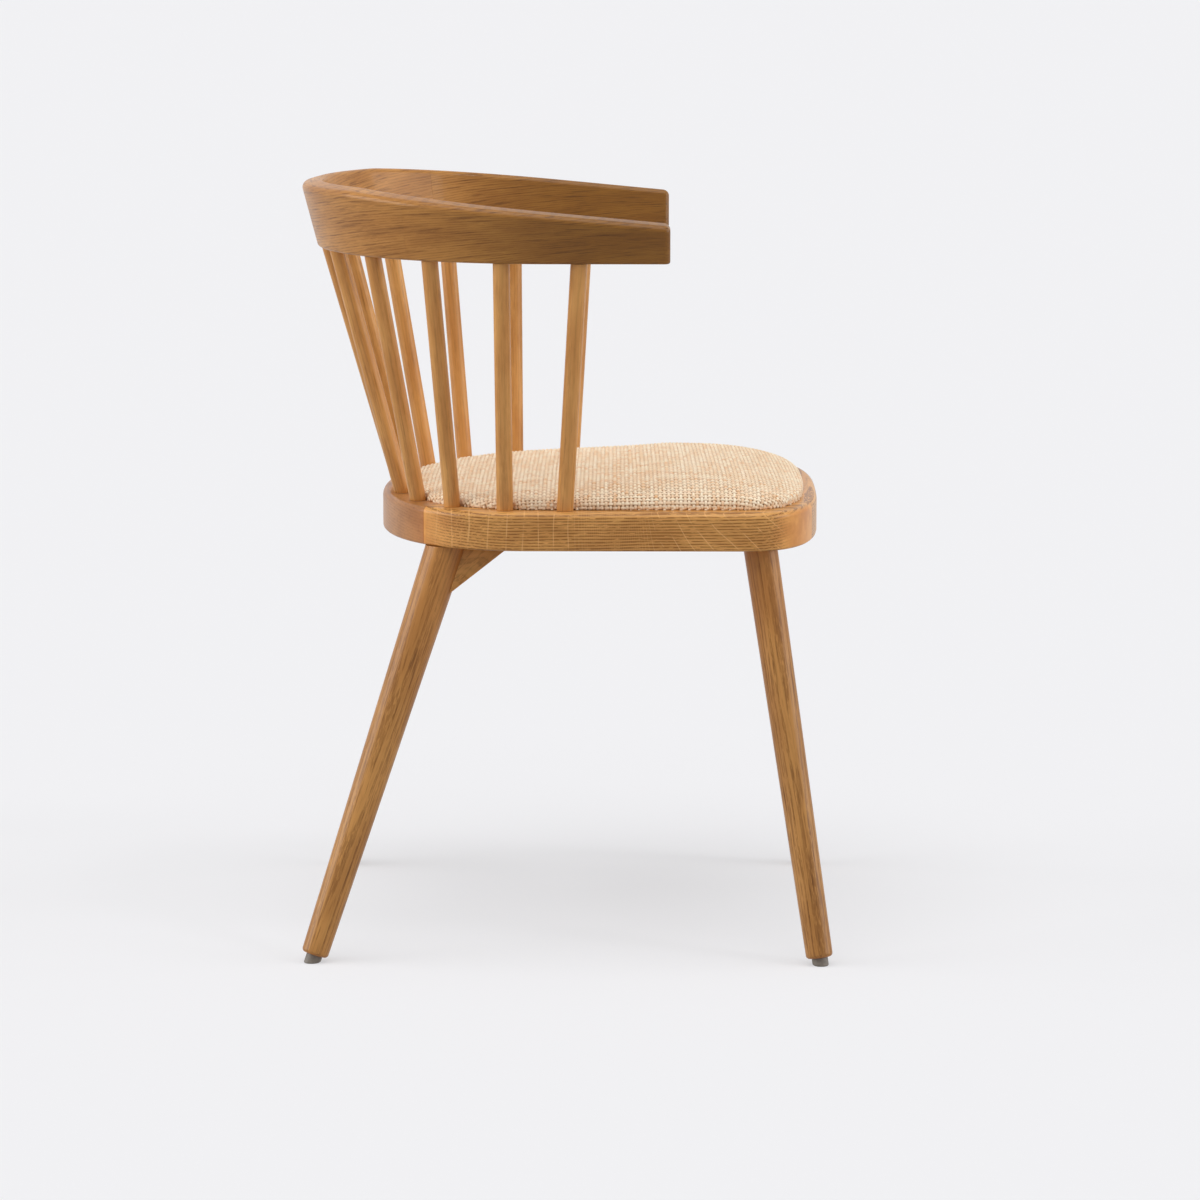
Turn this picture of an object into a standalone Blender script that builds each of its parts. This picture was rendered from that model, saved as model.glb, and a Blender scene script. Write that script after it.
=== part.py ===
"""Dining armchair: low bow back on spindles, woven crowned seat, four splayed legs.

Metres, +Z up, +X to the chair's front, +Y to the sitter's left.
The origin lies on the floor, under the middle of the chair.
"""
import math

import bmesh
import bpy
from mathutils import Matrix, Vector, geometry

# Clearances between pieces
GAP = 0.0003
NOTCH_GAP = 0.0020
NOTCH_REACH = 0.040

# Heights above the floor
SEAT_TOP = 0.446
SEAT_THICKNESS = 0.038
BOW_UNDERSIDE = 0.692

# Seat frame, seen from above
SEAT_HALF_WIDTH = 0.208
SEAT_REAR_X = -0.1857
SEAT_REAR_DEPTH = 0.154
SEAT_REAR_POWER = 2.25
SEAT_FRONT_X = 0.2553
SEAT_FRONT_DEPTH = 0.084
SEAT_FRONT_POWER = 2.9
REAR_JOINT_INSET = 0.048
REAR_RAIL_WIDTH = 0.080
SIDE_RAIL_WIDTH = 0.080
FRONT_RAIL_WIDTH = 0.053
SEAT_TOP_ROUND = 0.006
SEAT_BOTTOM_ROUND = 0.0025

# Bow: how far the middle of its underside stands out from the seat, and its board
BOW_SIDE_OVERHANG = 0.012
BOW_REAR_OVERHANG = 0.0535
BOW_CURVE_DEPTH = 0.230
ARM_END_X = 0.1058
BOW_BACK_HEIGHT = 0.066
BOW_ARM_HEIGHT = 0.0378
BOW_THICKNESS = 0.022
BOW_LEAN_BACK = 0.262
BOW_LEAN_SIDE = 0.144
BOW_POWER = 2.0
BOW_TOP_ROUND = 0.006
BOW_BOTTOM_ROUND = 0.0025
BOW_JOINT_RUN = 0.2095
ARM_SLOPE_START_X = -0.195
ARM_SLOPE_POWER = 1.0

# Spindles
SPINDLES_PER_SIDE = 5
SPINDLE_DIAMETER = 0.0164
SPINDLE_TENON_DIAMETER = 0.011
SPINDLE_HEAD_TENON = 0.020
SPINDLE_FOOT_TENON = 0.017
SPINDLE_FOOT_INSET = 0.0175
FRONT_SPINDLE_FOOT_SETBACK = 0.2524
FRONT_SPINDLE_HEAD_SETBACK = 0.0885

# Legs: a top's distance in from the seat's rear or front and from its side, and how far
# its foot stands out beyond it, lengthwise and sideways
REAR_LEG_INSET = (0.071, 0.0505)
REAR_LEG_SPLAY = (0.1325, 0.0725)
REAR_LEG_TOP_DIAMETER = 0.0402
REAR_LEG_TENON = 0.016
FRONT_LEG_INSET = (0.060, 0.038)
FRONT_LEG_SPLAY = (0.0605, 0.067)
FRONT_LEG_TOP_DIAMETER = 0.0336
FRONT_LEG_TENON = 0.026
LEG_FOOT_DIAMETER = 0.0265
LEG_TENON_DIAMETER = 0.018
LEG_END_HEIGHT = 0.0075
LEG_END_ROUND = 0.0035

# Glides and their nails
GLIDE_DIAMETER = 0.016
GLIDE_ROUND = 0.0015
NAIL_DIAMETER = 0.0024
NAIL_HEAD_DIAMETER = 0.0055
NAIL_HEAD_THICKNESS = 0.001
NAIL_HEAD_SINK = 0.003
NAIL_LENGTH = 0.016

# Braces between the rear legs and the side rails
BRACE_THICKNESS = 0.018
BRACE_REACH = 0.064
BRACE_DROP = 0.066
BRACE_RAIL_SCREW_SHARE = 0.22
BRACE_LEG_SCREW_SHARE = 0.45

# Dowels
DOWEL_DIAMETER = 0.008
DOWEL_LENGTH = 0.028
FRONT_DOWEL_RISE = 0.016
FRONT_DOWEL_SPACING = 0.016
MITRE_DOWEL_RISE = 0.011
MITRE_DOWEL_SPACING = 0.016
MITRE_DOWEL_EDGE = 0.0085
BOW_DOWEL_FIRST_RISE = 0.030
BOW_DOWEL_SPACING = 0.016

# Screws
SCREW_DIAMETER = 0.004
SCREW_HEAD_DIAMETER = 0.008
SCREW_HEAD_DEPTH = 0.0025
SCREW_COUNTERSINK = 0.0005
PANEL_SCREW_BITE = 0.0030
PANEL_SCREW_EDGE = 0.015
PANEL_SCREW_REAR_INSET = 0.1427
PANEL_SCREW_MIDDLE_INSET = 0.1383
PANEL_SCREW_FRONT_Y = 0.060
BRACE_SCREW_BITE = 0.012
BRACE_SCREW_SINK = 0.005

# Seat panel, foam pad and woven cover
PAD_SIDE_INSET = 0.0225
PAD_FRONT_INSET = 0.0145
PANEL_THICKNESS = 0.004
PANEL_INSET = 0.006
PANEL_ROUND = 0.003
COVER_THICKNESS = 0.0015
COVER_SKIRT = 0.0042
COVER_RETURN = 0.014
PAD_EDGE_INSET = 0.0165

# Crown of the cover: its height above the skirt, its middle and its highest part set back
# from the seat's front, and how it falls towards the front and the rear
CROWN_HEIGHT = 0.0285
CROWN_POWER = 2.2
CROWN_EDGE_POWER = 2.2
CROWN_MIDDLE_SETBACK = 0.1953
CROWN_PEAK_SETBACK = 0.1553
CROWN_FRONT_REACH = 0.283
CROWN_REAR_FALL = 0.62
CROWN_REAR_POWER = 0.8

# Fineness of the meshes
CORNER_STEPS = 10
BOW_BACK_STEPS = 18
BOW_ARM_STEPS = 12
EDGE_SEGMENTS = 3
EDGE_SHARES = (0.0, 0.04, 0.17, 0.40, 0.66, 1.0)
CROWN_SHARES = (0.15, 0.27, 0.46, 0.70, 0.91)
ROUND_SIDES = 16
LEG_SIDES = 20
SMALL_SIDES = 10

MEASURE_STEPS = 60
NORMAL_REACH = 0.004
BEVEL_ANGLE = math.radians(40)

# Finishes: colour and roughness, and metallic where it isn't wood
WOOD = (0.45, 0.25, 0.10)
SPINDLE_FINISH = ((0.56, 0.30, 0.13), 0.38)
BOW_FINISH = ((0.40, 0.22, 0.10), 0.33)
SIDE_RAIL_FINISH = ((0.36, 0.20, 0.10), 0.38)
REAR_RAIL_FINISH = ((0.38, 0.18, 0.10), 0.38)
LEG_FINISH = ((0.38, 0.20, 0.09), 0.38)
DOWEL_FINISH = ((0.62, 0.45, 0.26), 0.60)
PLYWOOD_FINISH = ((0.58, 0.42, 0.25), 0.65)
FOAM_FINISH = ((0.78, 0.72, 0.55), 0.95)
COVER_FINISH = ((0.78, 0.60, 0.38), 0.75)
GLIDE_FINISH = ((0.22, 0.19, 0.16), 0.50)
STEEL_FINISH = ((0.55, 0.55, 0.56), 0.35, 1.0)

# The sitter's right side is at -Y
SIDES = (("right", -1), ("left", 1))

SEAT_BOTTOM = SEAT_TOP - SEAT_THICKNESS
REAR_JOINT_X = SEAT_REAR_X + REAR_JOINT_INSET
REAR_RAIL_INNER_X = SEAT_REAR_X + REAR_RAIL_WIDTH
FRONT_RAIL_INNER_X = SEAT_FRONT_X - FRONT_RAIL_WIDTH
SIDE_RAIL_INNER_Y = SEAT_HALF_WIDTH - SIDE_RAIL_WIDTH
BOW_HALF_SPAN = SEAT_HALF_WIDTH + BOW_SIDE_OVERHANG
BOW_REAR_X = SEAT_REAR_X - BOW_REAR_OVERHANG


def clear_objects():
    """Empty the scene of whatever it held."""
    for old in list(bpy.data.objects):
        bpy.data.objects.remove(old, do_unlink=True)


def principled(name, colour, roughness, metallic=0.0):
    """A plain Principled material."""
    made = bpy.data.materials.new(name)
    made.use_nodes = True
    shader = made.node_tree.nodes["Principled BSDF"]
    shader.inputs["Base Color"].default_value = (*colour, 1.0)
    shader.inputs["Roughness"].default_value = roughness
    shader.inputs["Metallic"].default_value = metallic
    return made


def add_object(name, mesh_data, colour, roughness, metallic=0.0, sharp_angle=35):
    """Turn a bmesh into a named, shaded object under the chair's empty."""
    bmesh.ops.recalc_face_normals(mesh_data, faces=mesh_data.faces)
    mesh = bpy.data.meshes.new(name)
    mesh_data.to_mesh(mesh)
    mesh_data.free()
    mesh.shade_smooth()
    mesh.set_sharp_from_angle(angle=math.radians(sharp_angle))
    made = bpy.data.objects.new(name, mesh)
    made.data.materials.append(principled(name, colour, roughness, metallic))
    bpy.context.collection.objects.link(made)
    made.parent = bpy.data.objects["chair"]
    return made


def add_cutter(name, mesh_data):
    """A hidden object that only serves to cut others."""
    made = add_object(name, mesh_data, WOOD, 0.5)
    made.hide_render = True
    made.display_type = "WIRE"
    return made


def cut(target, *cutters):
    """Take each cutter's shape out of the target."""
    for cutter in cutters:
        boolean = target.modifiers.new(cutter.name, "BOOLEAN")
        boolean.operation = "DIFFERENCE"
        boolean.solver = "EXACT"
        boolean.object = cutter


def join_meshes(parts):
    """Several bmeshes as one bmesh, each still a body of its own."""
    whole = bmesh.new()
    for part in parts:
        piece = bpy.data.meshes.new("piece")
        part.to_mesh(piece)
        part.free()
        whole.from_mesh(piece)
        bpy.data.meshes.remove(piece)
    return whole


def turned(profile, sides):
    """A solid of revolution about Z from (height, radius) points, closed on the axis."""
    shape = bmesh.new()
    heights = [profile[0][0]] + [z for z, _ in profile] + [profile[-1][0]]
    radii = [0.0] + [r for _, r in profile] + [0.0]
    verts = [shape.verts.new((r, 0, z)) for z, r in zip(heights, radii)]
    edges = [shape.edges.new(pair) for pair in zip(verts, verts[1:])]
    bmesh.ops.spin(shape, geom=verts + edges, cent=(0, 0, 0), axis=(0, 0, 1),
                   dvec=(0, 0, 0), angle=2 * math.pi, steps=sides,
                   use_merge=True, use_duplicate=False)
    bmesh.ops.remove_doubles(shape, verts=shape.verts, dist=1e-6)
    bmesh.ops.recalc_face_normals(shape, faces=shape.faces)
    return shape


def lean(shape, run):
    """Shear an upright turned shape so that it follows run (sideways travel for each
    unit of height) and still measures its own radius square to its axis."""
    slope = run.length
    stretch = math.sqrt(1 + slope * slope) - 1
    ux, uy = (run / slope) if slope else (1.0, 0.0)
    matrix = Matrix(((1 + stretch * ux * ux, stretch * ux * uy, run.x, 0),
                     (stretch * ux * uy, 1 + stretch * uy * uy, run.y, 0),
                     (0, 0, 1, 0),
                     (0, 0, 0, 1)))
    bmesh.ops.transform(shape, matrix=matrix, verts=shape.verts)
    return shape


def moved(shape, place):
    """Shift a shape to its place."""
    bmesh.ops.translate(shape, vec=Vector(place), verts=shape.verts)
    return shape


def aimed(shape, place, direction):
    """Turn a shape's Z axis to a direction and shift it to its place."""
    turn = Vector(direction).to_track_quat("Z", "Y").to_matrix().to_4x4()
    bmesh.ops.transform(shape, matrix=Matrix.Translation(place) @ turn, verts=shape.verts)
    return shape


def quadrant(apex_x, depth, half_width, power, toward, steps):
    """Quarter of a superellipse from its apex on the centre line to its tangent at the
    side. toward is 1 where the side lies in front of the apex and -1 where behind."""
    points = []
    for step in range(steps + 1):
        angle = step / steps * math.pi / 2
        sideways = half_width * math.sin(angle) ** (2 / power)
        inward = depth * (1 - max(math.cos(angle), 0.0) ** (2 / power))
        points.append(Vector((apex_x + toward * inward, sideways)))
    return points


def seat_half_outline(side_inset, front_inset, steps=CORNER_STEPS):
    """Half of the seat's outline, from the rear centre round the side to the front."""
    width = SEAT_HALF_WIDTH - side_inset
    rear = quadrant(SEAT_REAR_X + side_inset, SEAT_REAR_DEPTH - side_inset / 2, width,
                    SEAT_REAR_POWER, 1, steps)
    front = quadrant(SEAT_FRONT_X - front_inset, SEAT_FRONT_DEPTH - front_inset / 2, width,
                     SEAT_FRONT_POWER, -1, steps)
    return rear + front[::-1]


def both_halves(half):
    """A closed outline from a half outline that starts and ends on the centre line."""
    mirrored = [Vector((p.x, -p.y)) for p in half[1:-1]]
    return half + mirrored[::-1]


def point_along(line, distance):
    """Point at a distance along a half line from its start on the centre line. A
    negative distance gives the mirrored point on the other side."""
    left = abs(distance)
    for start, end in zip(line, line[1:]):
        length = (end - start).length
        if left <= length or end is line[-1]:
            break
        left -= length
    point = start + (end - start).normalized() * left
    return Vector((point.x, math.copysign(point.y, distance)))


def station(line, distance):
    """Point and outward normal at a distance along a half line."""
    along = point_along(line, distance + NORMAL_REACH) - point_along(line, distance - NORMAL_REACH)
    along.normalize()
    return point_along(line, distance), Vector((-along.y, along.x))


def line_length(line):
    """Length of a half line."""
    return sum((end - start).length for start, end in zip(line, line[1:]))


def bow_half_line():
    """Half of the bow's middle line, from the rear centre to the end of the arm."""
    curve = quadrant(BOW_REAR_X, BOW_CURVE_DEPTH, BOW_HALF_SPAN, BOW_POWER, 1,
                     MEASURE_STEPS)
    return curve + [Vector((ARM_END_X, BOW_HALF_SPAN))]


def spindle_foot_line():
    """Half of the line that the spindles stand on."""
    return seat_half_outline(SPINDLE_FOOT_INSET, SPINDLE_FOOT_INSET, MEASURE_STEPS)


def bow_height(x):
    """Height of the bow's board: even round the back, less and less along the arms."""
    share = (x - ARM_SLOPE_START_X) / (ARM_END_X - ARM_SLOPE_START_X)
    share = min(max(share, 0.0), 1.0)
    return BOW_BACK_HEIGHT + (BOW_ARM_HEIGHT - BOW_BACK_HEIGHT) * share ** ARM_SLOPE_POWER


def bow_lean(normal):
    """How far the bow leans outward for each unit of height, where it faces normal."""
    return BOW_LEAN_BACK * normal.x ** 2 + BOW_LEAN_SIDE * normal.y ** 2


def bow_section(distance):
    """The bow's four corners at a distance from the rear centre: it stands on its level
    underside and leans outward, and its top is square to its faces."""
    point, normal = station(bow_half_line(), distance)
    tangent = bow_lean(normal)
    rise = bow_height(point.x)
    half = normal * (BOW_THICKNESS / 2)
    shift = normal * (tangent * rise)
    tilt = tangent * BOW_THICKNESS / 2
    corners = ((point - half, 0), (point + half, 0),
               (point + shift + half, rise - tilt), (point + shift - half, rise + tilt))
    return [Vector((p.x, p.y, BOW_UNDERSIDE + z)) for p, z in corners]


def bow_piece(name, start, end, steps, free_end):
    """One length of the bow. Its long edges are rounded, and so is a free end."""
    shape = bmesh.new()
    sections = []
    for step in range(steps + 1):
        corners = bow_section(start + (end - start) * step / steps)
        sections.append([shape.verts.new(corner) for corner in corners])
    for near, far in zip(sections, sections[1:]):
        for side in range(4):
            after = (side + 1) % 4
            shape.faces.new((near[side], near[after], far[after], far[side]))
    shape.faces.new(sections[0])
    shape.faces.new(sections[-1])
    bmesh.ops.recalc_face_normals(shape, faces=shape.faces)
    joints = [station(bow_half_line(), distance)
              for distance, name_of_end in ((start, "start"), (end, "end"))
              if name_of_end != free_end]
    for size, lower in ((BOW_TOP_ROUND, False), (BOW_BOTTOM_ROUND, True)):
        rounded = []
        for edge in shape.edges:
            under = all(abs(vert.co.z - BOW_UNDERSIDE) < 1e-6 for vert in edge.verts)
            sharp = edge.calc_face_angle() > BEVEL_ANGLE
            if under == lower and sharp and not in_joint(edge, joints):
                rounded.append(edge)
        bmesh.ops.bevel(shape, geom=rounded, offset=size, offset_type="OFFSET",
                        segments=EDGE_SEGMENTS, profile=0.5, affect="EDGES", material=-1)
    return add_object(name, shape, *BOW_FINISH)


def in_joint(edge, joints):
    """Whether an edge lies in the cut of one of the bow's joints."""
    return any(all(abs((vert.co.xy - point).cross(normal)) < 1e-6 for vert in edge.verts)
               for point, normal in joints)


def seat_block(inset_side, inset_front, saws, bottom, thickness, roundings):
    """A slab of the seat's outline, sawn by upright planes, its outer edges rounded.
    Each saw is a point and a direction; what lies beyond it is cut away. roundings holds
    a radius and a number of steps for the upper edge, then for the lower edge."""
    outline = both_halves(seat_half_outline(inset_side, inset_front))
    shape = bmesh.new()
    shape.faces.new([shape.verts.new((p.x, p.y, bottom)) for p in outline])
    for place, direction in saws:
        bmesh.ops.bisect_plane(shape, geom=shape.verts[:] + shape.edges[:] + shape.faces[:],
                               plane_co=place, plane_no=direction, clear_outer=True)
    raised = bmesh.ops.extrude_face_region(shape, geom=shape.faces[:])
    lifted = [item for item in raised["geom"] if isinstance(item, bmesh.types.BMVert)]
    bmesh.ops.translate(shape, vec=(0, 0, thickness), verts=lifted)
    bmesh.ops.recalc_face_normals(shape, faces=shape.faces)
    for height, (size, segments) in zip((bottom + thickness, bottom), roundings):
        rim = [edge for edge in shape.edges if on_rim(edge, height, saws)]
        bmesh.ops.bevel(shape, geom=rim, offset=size, offset_type="OFFSET",
                        segments=segments, profile=0.5, affect="EDGES", material=-1)
    return shape


def on_rim(edge, height, saws):
    """Whether an edge runs along the outline at this height, and not along a saw cut."""
    if any(abs(vert.co.z - height) > 1e-6 for vert in edge.verts):
        return False
    for place, direction in saws:
        reach = [abs((vert.co - Vector(place)).dot(Vector(direction))) for vert in edge.verts]
        if max(reach) < 1e-6:
            return False
    return True


def run_to(line, x):
    """How far along a half line it is to where the line first reaches x."""
    run = 0.0
    for start, end in zip(line, line[1:]):
        if end.x >= x:
            return run + (end - start).length * (x - start.x) / (end.x - start.x)
        run += (end - start).length
    return run


def spindle_places():
    """Name, foot and head of every spindle, on the seat's top and the bow's underside,
    evenly spaced from the rear centre to the front spindle."""
    foot_line = spindle_foot_line()
    bow_line = bow_half_line()
    foot_pitch = run_to(foot_line, SEAT_FRONT_X - FRONT_SPINDLE_FOOT_SETBACK) / SPINDLES_PER_SIDE
    head_pitch = run_to(bow_line, ARM_END_X - FRONT_SPINDLE_HEAD_SETBACK) / SPINDLES_PER_SIDE
    places = []
    for number in range(-SPINDLES_PER_SIDE, SPINDLES_PER_SIDE + 1):
        foot = point_along(foot_line, number * foot_pitch)
        head = point_along(bow_line, number * head_pitch)
        if number == 0:
            name = "spindle_centre"
        else:
            name = f"spindle_{'left' if number > 0 else 'right'}_{abs(number)}"
        places.append((name, foot, head))
    return places


def spindle_shape(foot, head):
    """A spindle with a tenon at each end. Its foot is at the origin, and it leans
    towards its head."""
    height = BOW_UNDERSIDE - SEAT_TOP
    tenon = SPINDLE_TENON_DIAMETER / 2
    body = SPINDLE_DIAMETER / 2
    profile = [(-SPINDLE_FOOT_TENON, tenon), (GAP, tenon), (GAP, body),
               (height - GAP, body), (height - GAP, tenon),
               (height + SPINDLE_HEAD_TENON, tenon)]
    return lean(turned(profile, ROUND_SIDES), (head - foot) / height)


def spindle_sockets():
    """The holes for all the spindles' tenons."""
    height = BOW_UNDERSIDE - SEAT_TOP
    tenon = SPINDLE_TENON_DIAMETER / 2 + GAP
    ends = ((-SPINDLE_FOOT_TENON - GAP, SPINDLE_FOOT_TENON),
            (height - SPINDLE_HEAD_TENON, height + SPINDLE_HEAD_TENON + GAP))
    holes = []
    for _, foot, head in spindle_places():
        for low, high in ends:
            hole = lean(turned([(low, tenon), (high, tenon)], ROUND_SIDES), (head - foot) / height)
            holes.append(moved(hole, (foot.x, foot.y, SEAT_TOP)))
    return add_cutter("spindle_sockets", join_meshes(holes))


def spindle_notches():
    """Room for the spindles at the edge of the seat panel, the pad and the cover."""
    height = BOW_UNDERSIDE - SEAT_TOP
    radius = SPINDLE_DIAMETER / 2 + NOTCH_GAP
    rooms = []
    for _, foot, head in spindle_places():
        room = turned([(-NOTCH_REACH, radius), (NOTCH_REACH, radius)], SMALL_SIDES)
        rooms.append(moved(lean(room, (head - foot) / height), (foot.x, foot.y, SEAT_TOP)))
    return add_cutter("spindle_notches", join_meshes(rooms))


def mitre(side):
    """The upright joint between the rear rail and a side rail: its inner end, and the
    directions along it to the outside and across it to the rear."""
    outer = Vector((REAR_JOINT_X, side * outline_y(REAR_JOINT_X), 0))
    inner = Vector((REAR_RAIL_INNER_X, side * SIDE_RAIL_INNER_Y, 0))
    outward = (outer - inner).normalized()
    rearward = Vector((-abs(outward.y), -side * abs(outward.x), 0))
    return inner, outward, rearward


def build_seat_frame():
    """Rear rail, two side rails that turn the front corners, and the front rail."""
    rail = (SEAT_BOTTOM, SEAT_THICKNESS, ((SEAT_TOP_ROUND, EDGE_SEGMENTS), (SEAT_BOTTOM_ROUND, 1)))
    rear_saws = [((REAR_RAIL_INNER_X, 0, 0), (1, 0, 0))]
    pieces = {}
    for name, side in SIDES:
        inner, _, rearward = mitre(side)
        rear_saws.append((inner, -rearward))
        saws = [(inner - rearward * GAP, rearward),
                ((0, side * SIDE_RAIL_INNER_Y, 0), (0, -side, 0))]
        pieces[name] = add_object(f"seat_rail_{name}", seat_block(0, 0, saws, *rail),
                                  *SIDE_RAIL_FINISH)
    pieces["rear"] = add_object("seat_rail_rear", seat_block(0, 0, rear_saws, *rail),
                                *REAR_RAIL_FINISH)
    reach = SIDE_RAIL_INNER_Y - GAP
    saws = [((FRONT_RAIL_INNER_X, 0, 0), (-1, 0, 0)),
            ((0, reach, 0), (0, 1, 0)), ((0, -reach, 0), (0, -1, 0))]
    pieces["front"] = add_object("seat_rail_front", seat_block(0, 0, saws, *rail),
                                 *SIDE_RAIL_FINISH)
    return pieces


def build_bow():
    """The back segment and the two arm segments."""
    end = line_length(bow_half_line())
    pieces = {"back": bow_piece("bow_back", -BOW_JOINT_RUN, BOW_JOINT_RUN,
                              BOW_BACK_STEPS, "")}
    start = BOW_JOINT_RUN + GAP
    pieces["left"] = bow_piece("bow_arm_left", start, end, BOW_ARM_STEPS, "end")
    pieces["right"] = bow_piece("bow_arm_right", -end, -start, BOW_ARM_STEPS, "start")
    return pieces


def build_spindles():
    """Every spindle, standing at its foot."""
    made = []
    for name, foot, head in spindle_places():
        spindle = add_object(name, spindle_shape(foot, head), *SPINDLE_FINISH)
        spindle.location = (foot.x, foot.y, SEAT_TOP)
        made.append(spindle)
    return made


def leg_places():
    """Name, foot on the floor, top under the seat frame, top diameter and tenon length
    of every leg."""
    kinds = (("rear", SEAT_REAR_X, -1, REAR_LEG_INSET, REAR_LEG_SPLAY,
              REAR_LEG_TOP_DIAMETER, REAR_LEG_TENON),
             ("front", SEAT_FRONT_X, 1, FRONT_LEG_INSET, FRONT_LEG_SPLAY,
              FRONT_LEG_TOP_DIAMETER, FRONT_LEG_TENON))
    places = []
    for kind, edge_x, outward, inset, splay, diameter, tenon in kinds:
        for name, side in SIDES:
            top = Vector((edge_x - outward * inset[0], side * (SEAT_HALF_WIDTH - inset[1])))
            foot = top + Vector((outward * splay[0], side * splay[1]))
            places.append((f"{kind}_{name}", foot, top, diameter, tenon))
    return places


def leg_run(foot, top):
    """Sideways travel of a leg's axis for each unit of height."""
    return (top - foot) / SEAT_BOTTOM


def leg_radius(top_diameter, height):
    """Radius of a leg's straight taper at a height above the floor."""
    share = height / SEAT_BOTTOM
    return (LEG_FOOT_DIAMETER + (top_diameter - LEG_FOOT_DIAMETER) * share) / 2


def leg_end(foot, top):
    """Where a leg's axis meets its lower end, and the direction of the axis."""
    run = leg_run(foot, top)
    place = Vector((foot.x + run.x * LEG_END_HEIGHT, foot.y + run.y * LEG_END_HEIGHT,
                    LEG_END_HEIGHT))
    return place, Vector((run.x, run.y, 1)).normalized()


def leg_shape(foot, top, diameter, tenon):
    """A tapered leg, its shoulder cut to the seat frame and its lower end square to its
    axis. Its axis meets the floor at the origin."""
    below = -LEG_FOOT_DIAMETER
    shoulder = SEAT_BOTTOM - GAP
    profile = [(below, leg_radius(diameter, below)), (shoulder, leg_radius(diameter, shoulder)),
               (shoulder, LEG_TENON_DIAMETER / 2), (SEAT_BOTTOM + tenon, LEG_TENON_DIAMETER / 2)]
    shape = lean(turned(profile, LEG_SIDES), leg_run(foot, top))
    place, axis = leg_end(foot, top)
    trim(shape, place - Vector((foot.x, foot.y, 0)), -axis, LEG_END_ROUND)
    return shape


def trim(shape, place, direction, rounding):
    """Cut away what lies beyond a plane, close the cut and round its edge."""
    bmesh.ops.bisect_plane(shape, geom=shape.verts[:] + shape.edges[:] + shape.faces[:],
                           plane_co=place, plane_no=direction, clear_outer=True)
    rim = [edge for edge in shape.edges if edge.is_boundary]
    bmesh.ops.holes_fill(shape, edges=rim, sides=0)
    bmesh.ops.recalc_face_normals(shape, faces=shape.faces)
    bmesh.ops.bevel(shape, geom=rim, offset=rounding, offset_type="OFFSET",
                    segments=EDGE_SEGMENTS, profile=0.5, affect="EDGES", material=-1)


def build_legs():
    """The four legs, each with its glide, and the nails of the glides."""
    legs = {}
    for name, foot, top, diameter, tenon in leg_places():
        leg = add_object(f"leg_{name}", leg_shape(foot, top, diameter, tenon), *LEG_FINISH)
        leg.location = (foot.x, foot.y, 0)
        legs[name] = leg
        glide = add_object(f"glide_{name}", glide_shape(foot, top), *GLIDE_FINISH)
        place, axis = leg_end(foot, top)
        nail = aimed(turned(nail_profile(0), SMALL_SIDES), place, axis)
        add_object(f"glide_nail_{name}", nail, *STEEL_FINISH)
        hole = aimed(turned(nail_profile(GAP), SMALL_SIDES), place, axis)
        hole = add_cutter(f"nail_hole_{name}", hole)
        cut(leg, hole)
        cut(glide, hole)
    return legs


def nail_profile(extra):
    """A nail along the leg's axis, driven through the glide from below; grown by extra,
    it is the hole, whose wide part is open to the floor."""
    ledge = -NAIL_HEAD_SINK
    head = NAIL_HEAD_DIAMETER / 2 + extra
    shank = NAIL_DIAMETER / 2 + extra
    under = -LEG_END_HEIGHT * 2 if extra else ledge - NAIL_HEAD_THICKNESS
    return [(under, head), (ledge + extra, head), (ledge + extra, shank),
            (ledge + NAIL_LENGTH + extra, shank)]


def glide_shape(foot, top):
    """A glide: square to the leg above, flat on the floor below."""
    place, axis = leg_end(foot, top)
    radius = GLIDE_DIAMETER / 2
    shape = aimed(turned([(-2 * LEG_END_HEIGHT, radius), (-GAP, radius)], LEG_SIDES), place, axis)
    trim(shape, Vector((0, 0, 0)), Vector((0, 0, -1)), GLIDE_ROUND)
    return shape


def leg_tenon_holes():
    """The holes for the legs' tenons in the seat frame."""
    holes = []
    for _, foot, top, _, tenon in leg_places():
        radius = LEG_TENON_DIAMETER / 2 + GAP
        hole = turned([(SEAT_BOTTOM - SEAT_THICKNESS, radius),
                       (SEAT_BOTTOM + tenon + GAP, radius)], LEG_SIDES)
        holes.append(moved(lean(hole, leg_run(foot, top)), (foot.x, foot.y, 0)))
    return add_cutter("leg_tenon_holes", join_meshes(holes))


def brace_corners(foot, top):
    """The brace's side view, measured from the leg's top: along the rail's underside,
    and down the leg's axis."""
    run = leg_run(foot, top)
    return (Vector((0, -GAP)), Vector((BRACE_REACH, -GAP)),
            Vector((-run.x * BRACE_DROP, -BRACE_DROP)))


def brace_shape(foot, top):
    """A three-cornered block that follows the leg's lean to the side."""
    shape = bmesh.new()
    corners = brace_corners(foot, top)
    side = -BRACE_THICKNESS / 2
    face = shape.faces.new([shape.verts.new((c.x, side, c.y)) for c in corners])
    raised = bmesh.ops.extrude_face_region(shape, geom=[face])
    lifted = [item for item in raised["geom"] if isinstance(item, bmesh.types.BMVert)]
    bmesh.ops.translate(shape, vec=(0, BRACE_THICKNESS, 0), verts=lifted)
    shear = Matrix.Identity(4)
    shear[1][2] = leg_run(foot, top).y
    bmesh.ops.transform(shape, matrix=shear, verts=shape.verts)
    return shape


def screw_profile(length, extra):
    """A countersunk screw from its head up; grown by extra, it is the hole, open below
    the head."""
    head = SCREW_HEAD_DIAMETER / 2 + extra
    shank = SCREW_DIAMETER / 2 + extra
    profile = [(0, head), (SCREW_HEAD_DEPTH, shank), (length + extra, shank)]
    if extra:
        profile.insert(0, (-length, head))
    return profile


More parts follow.
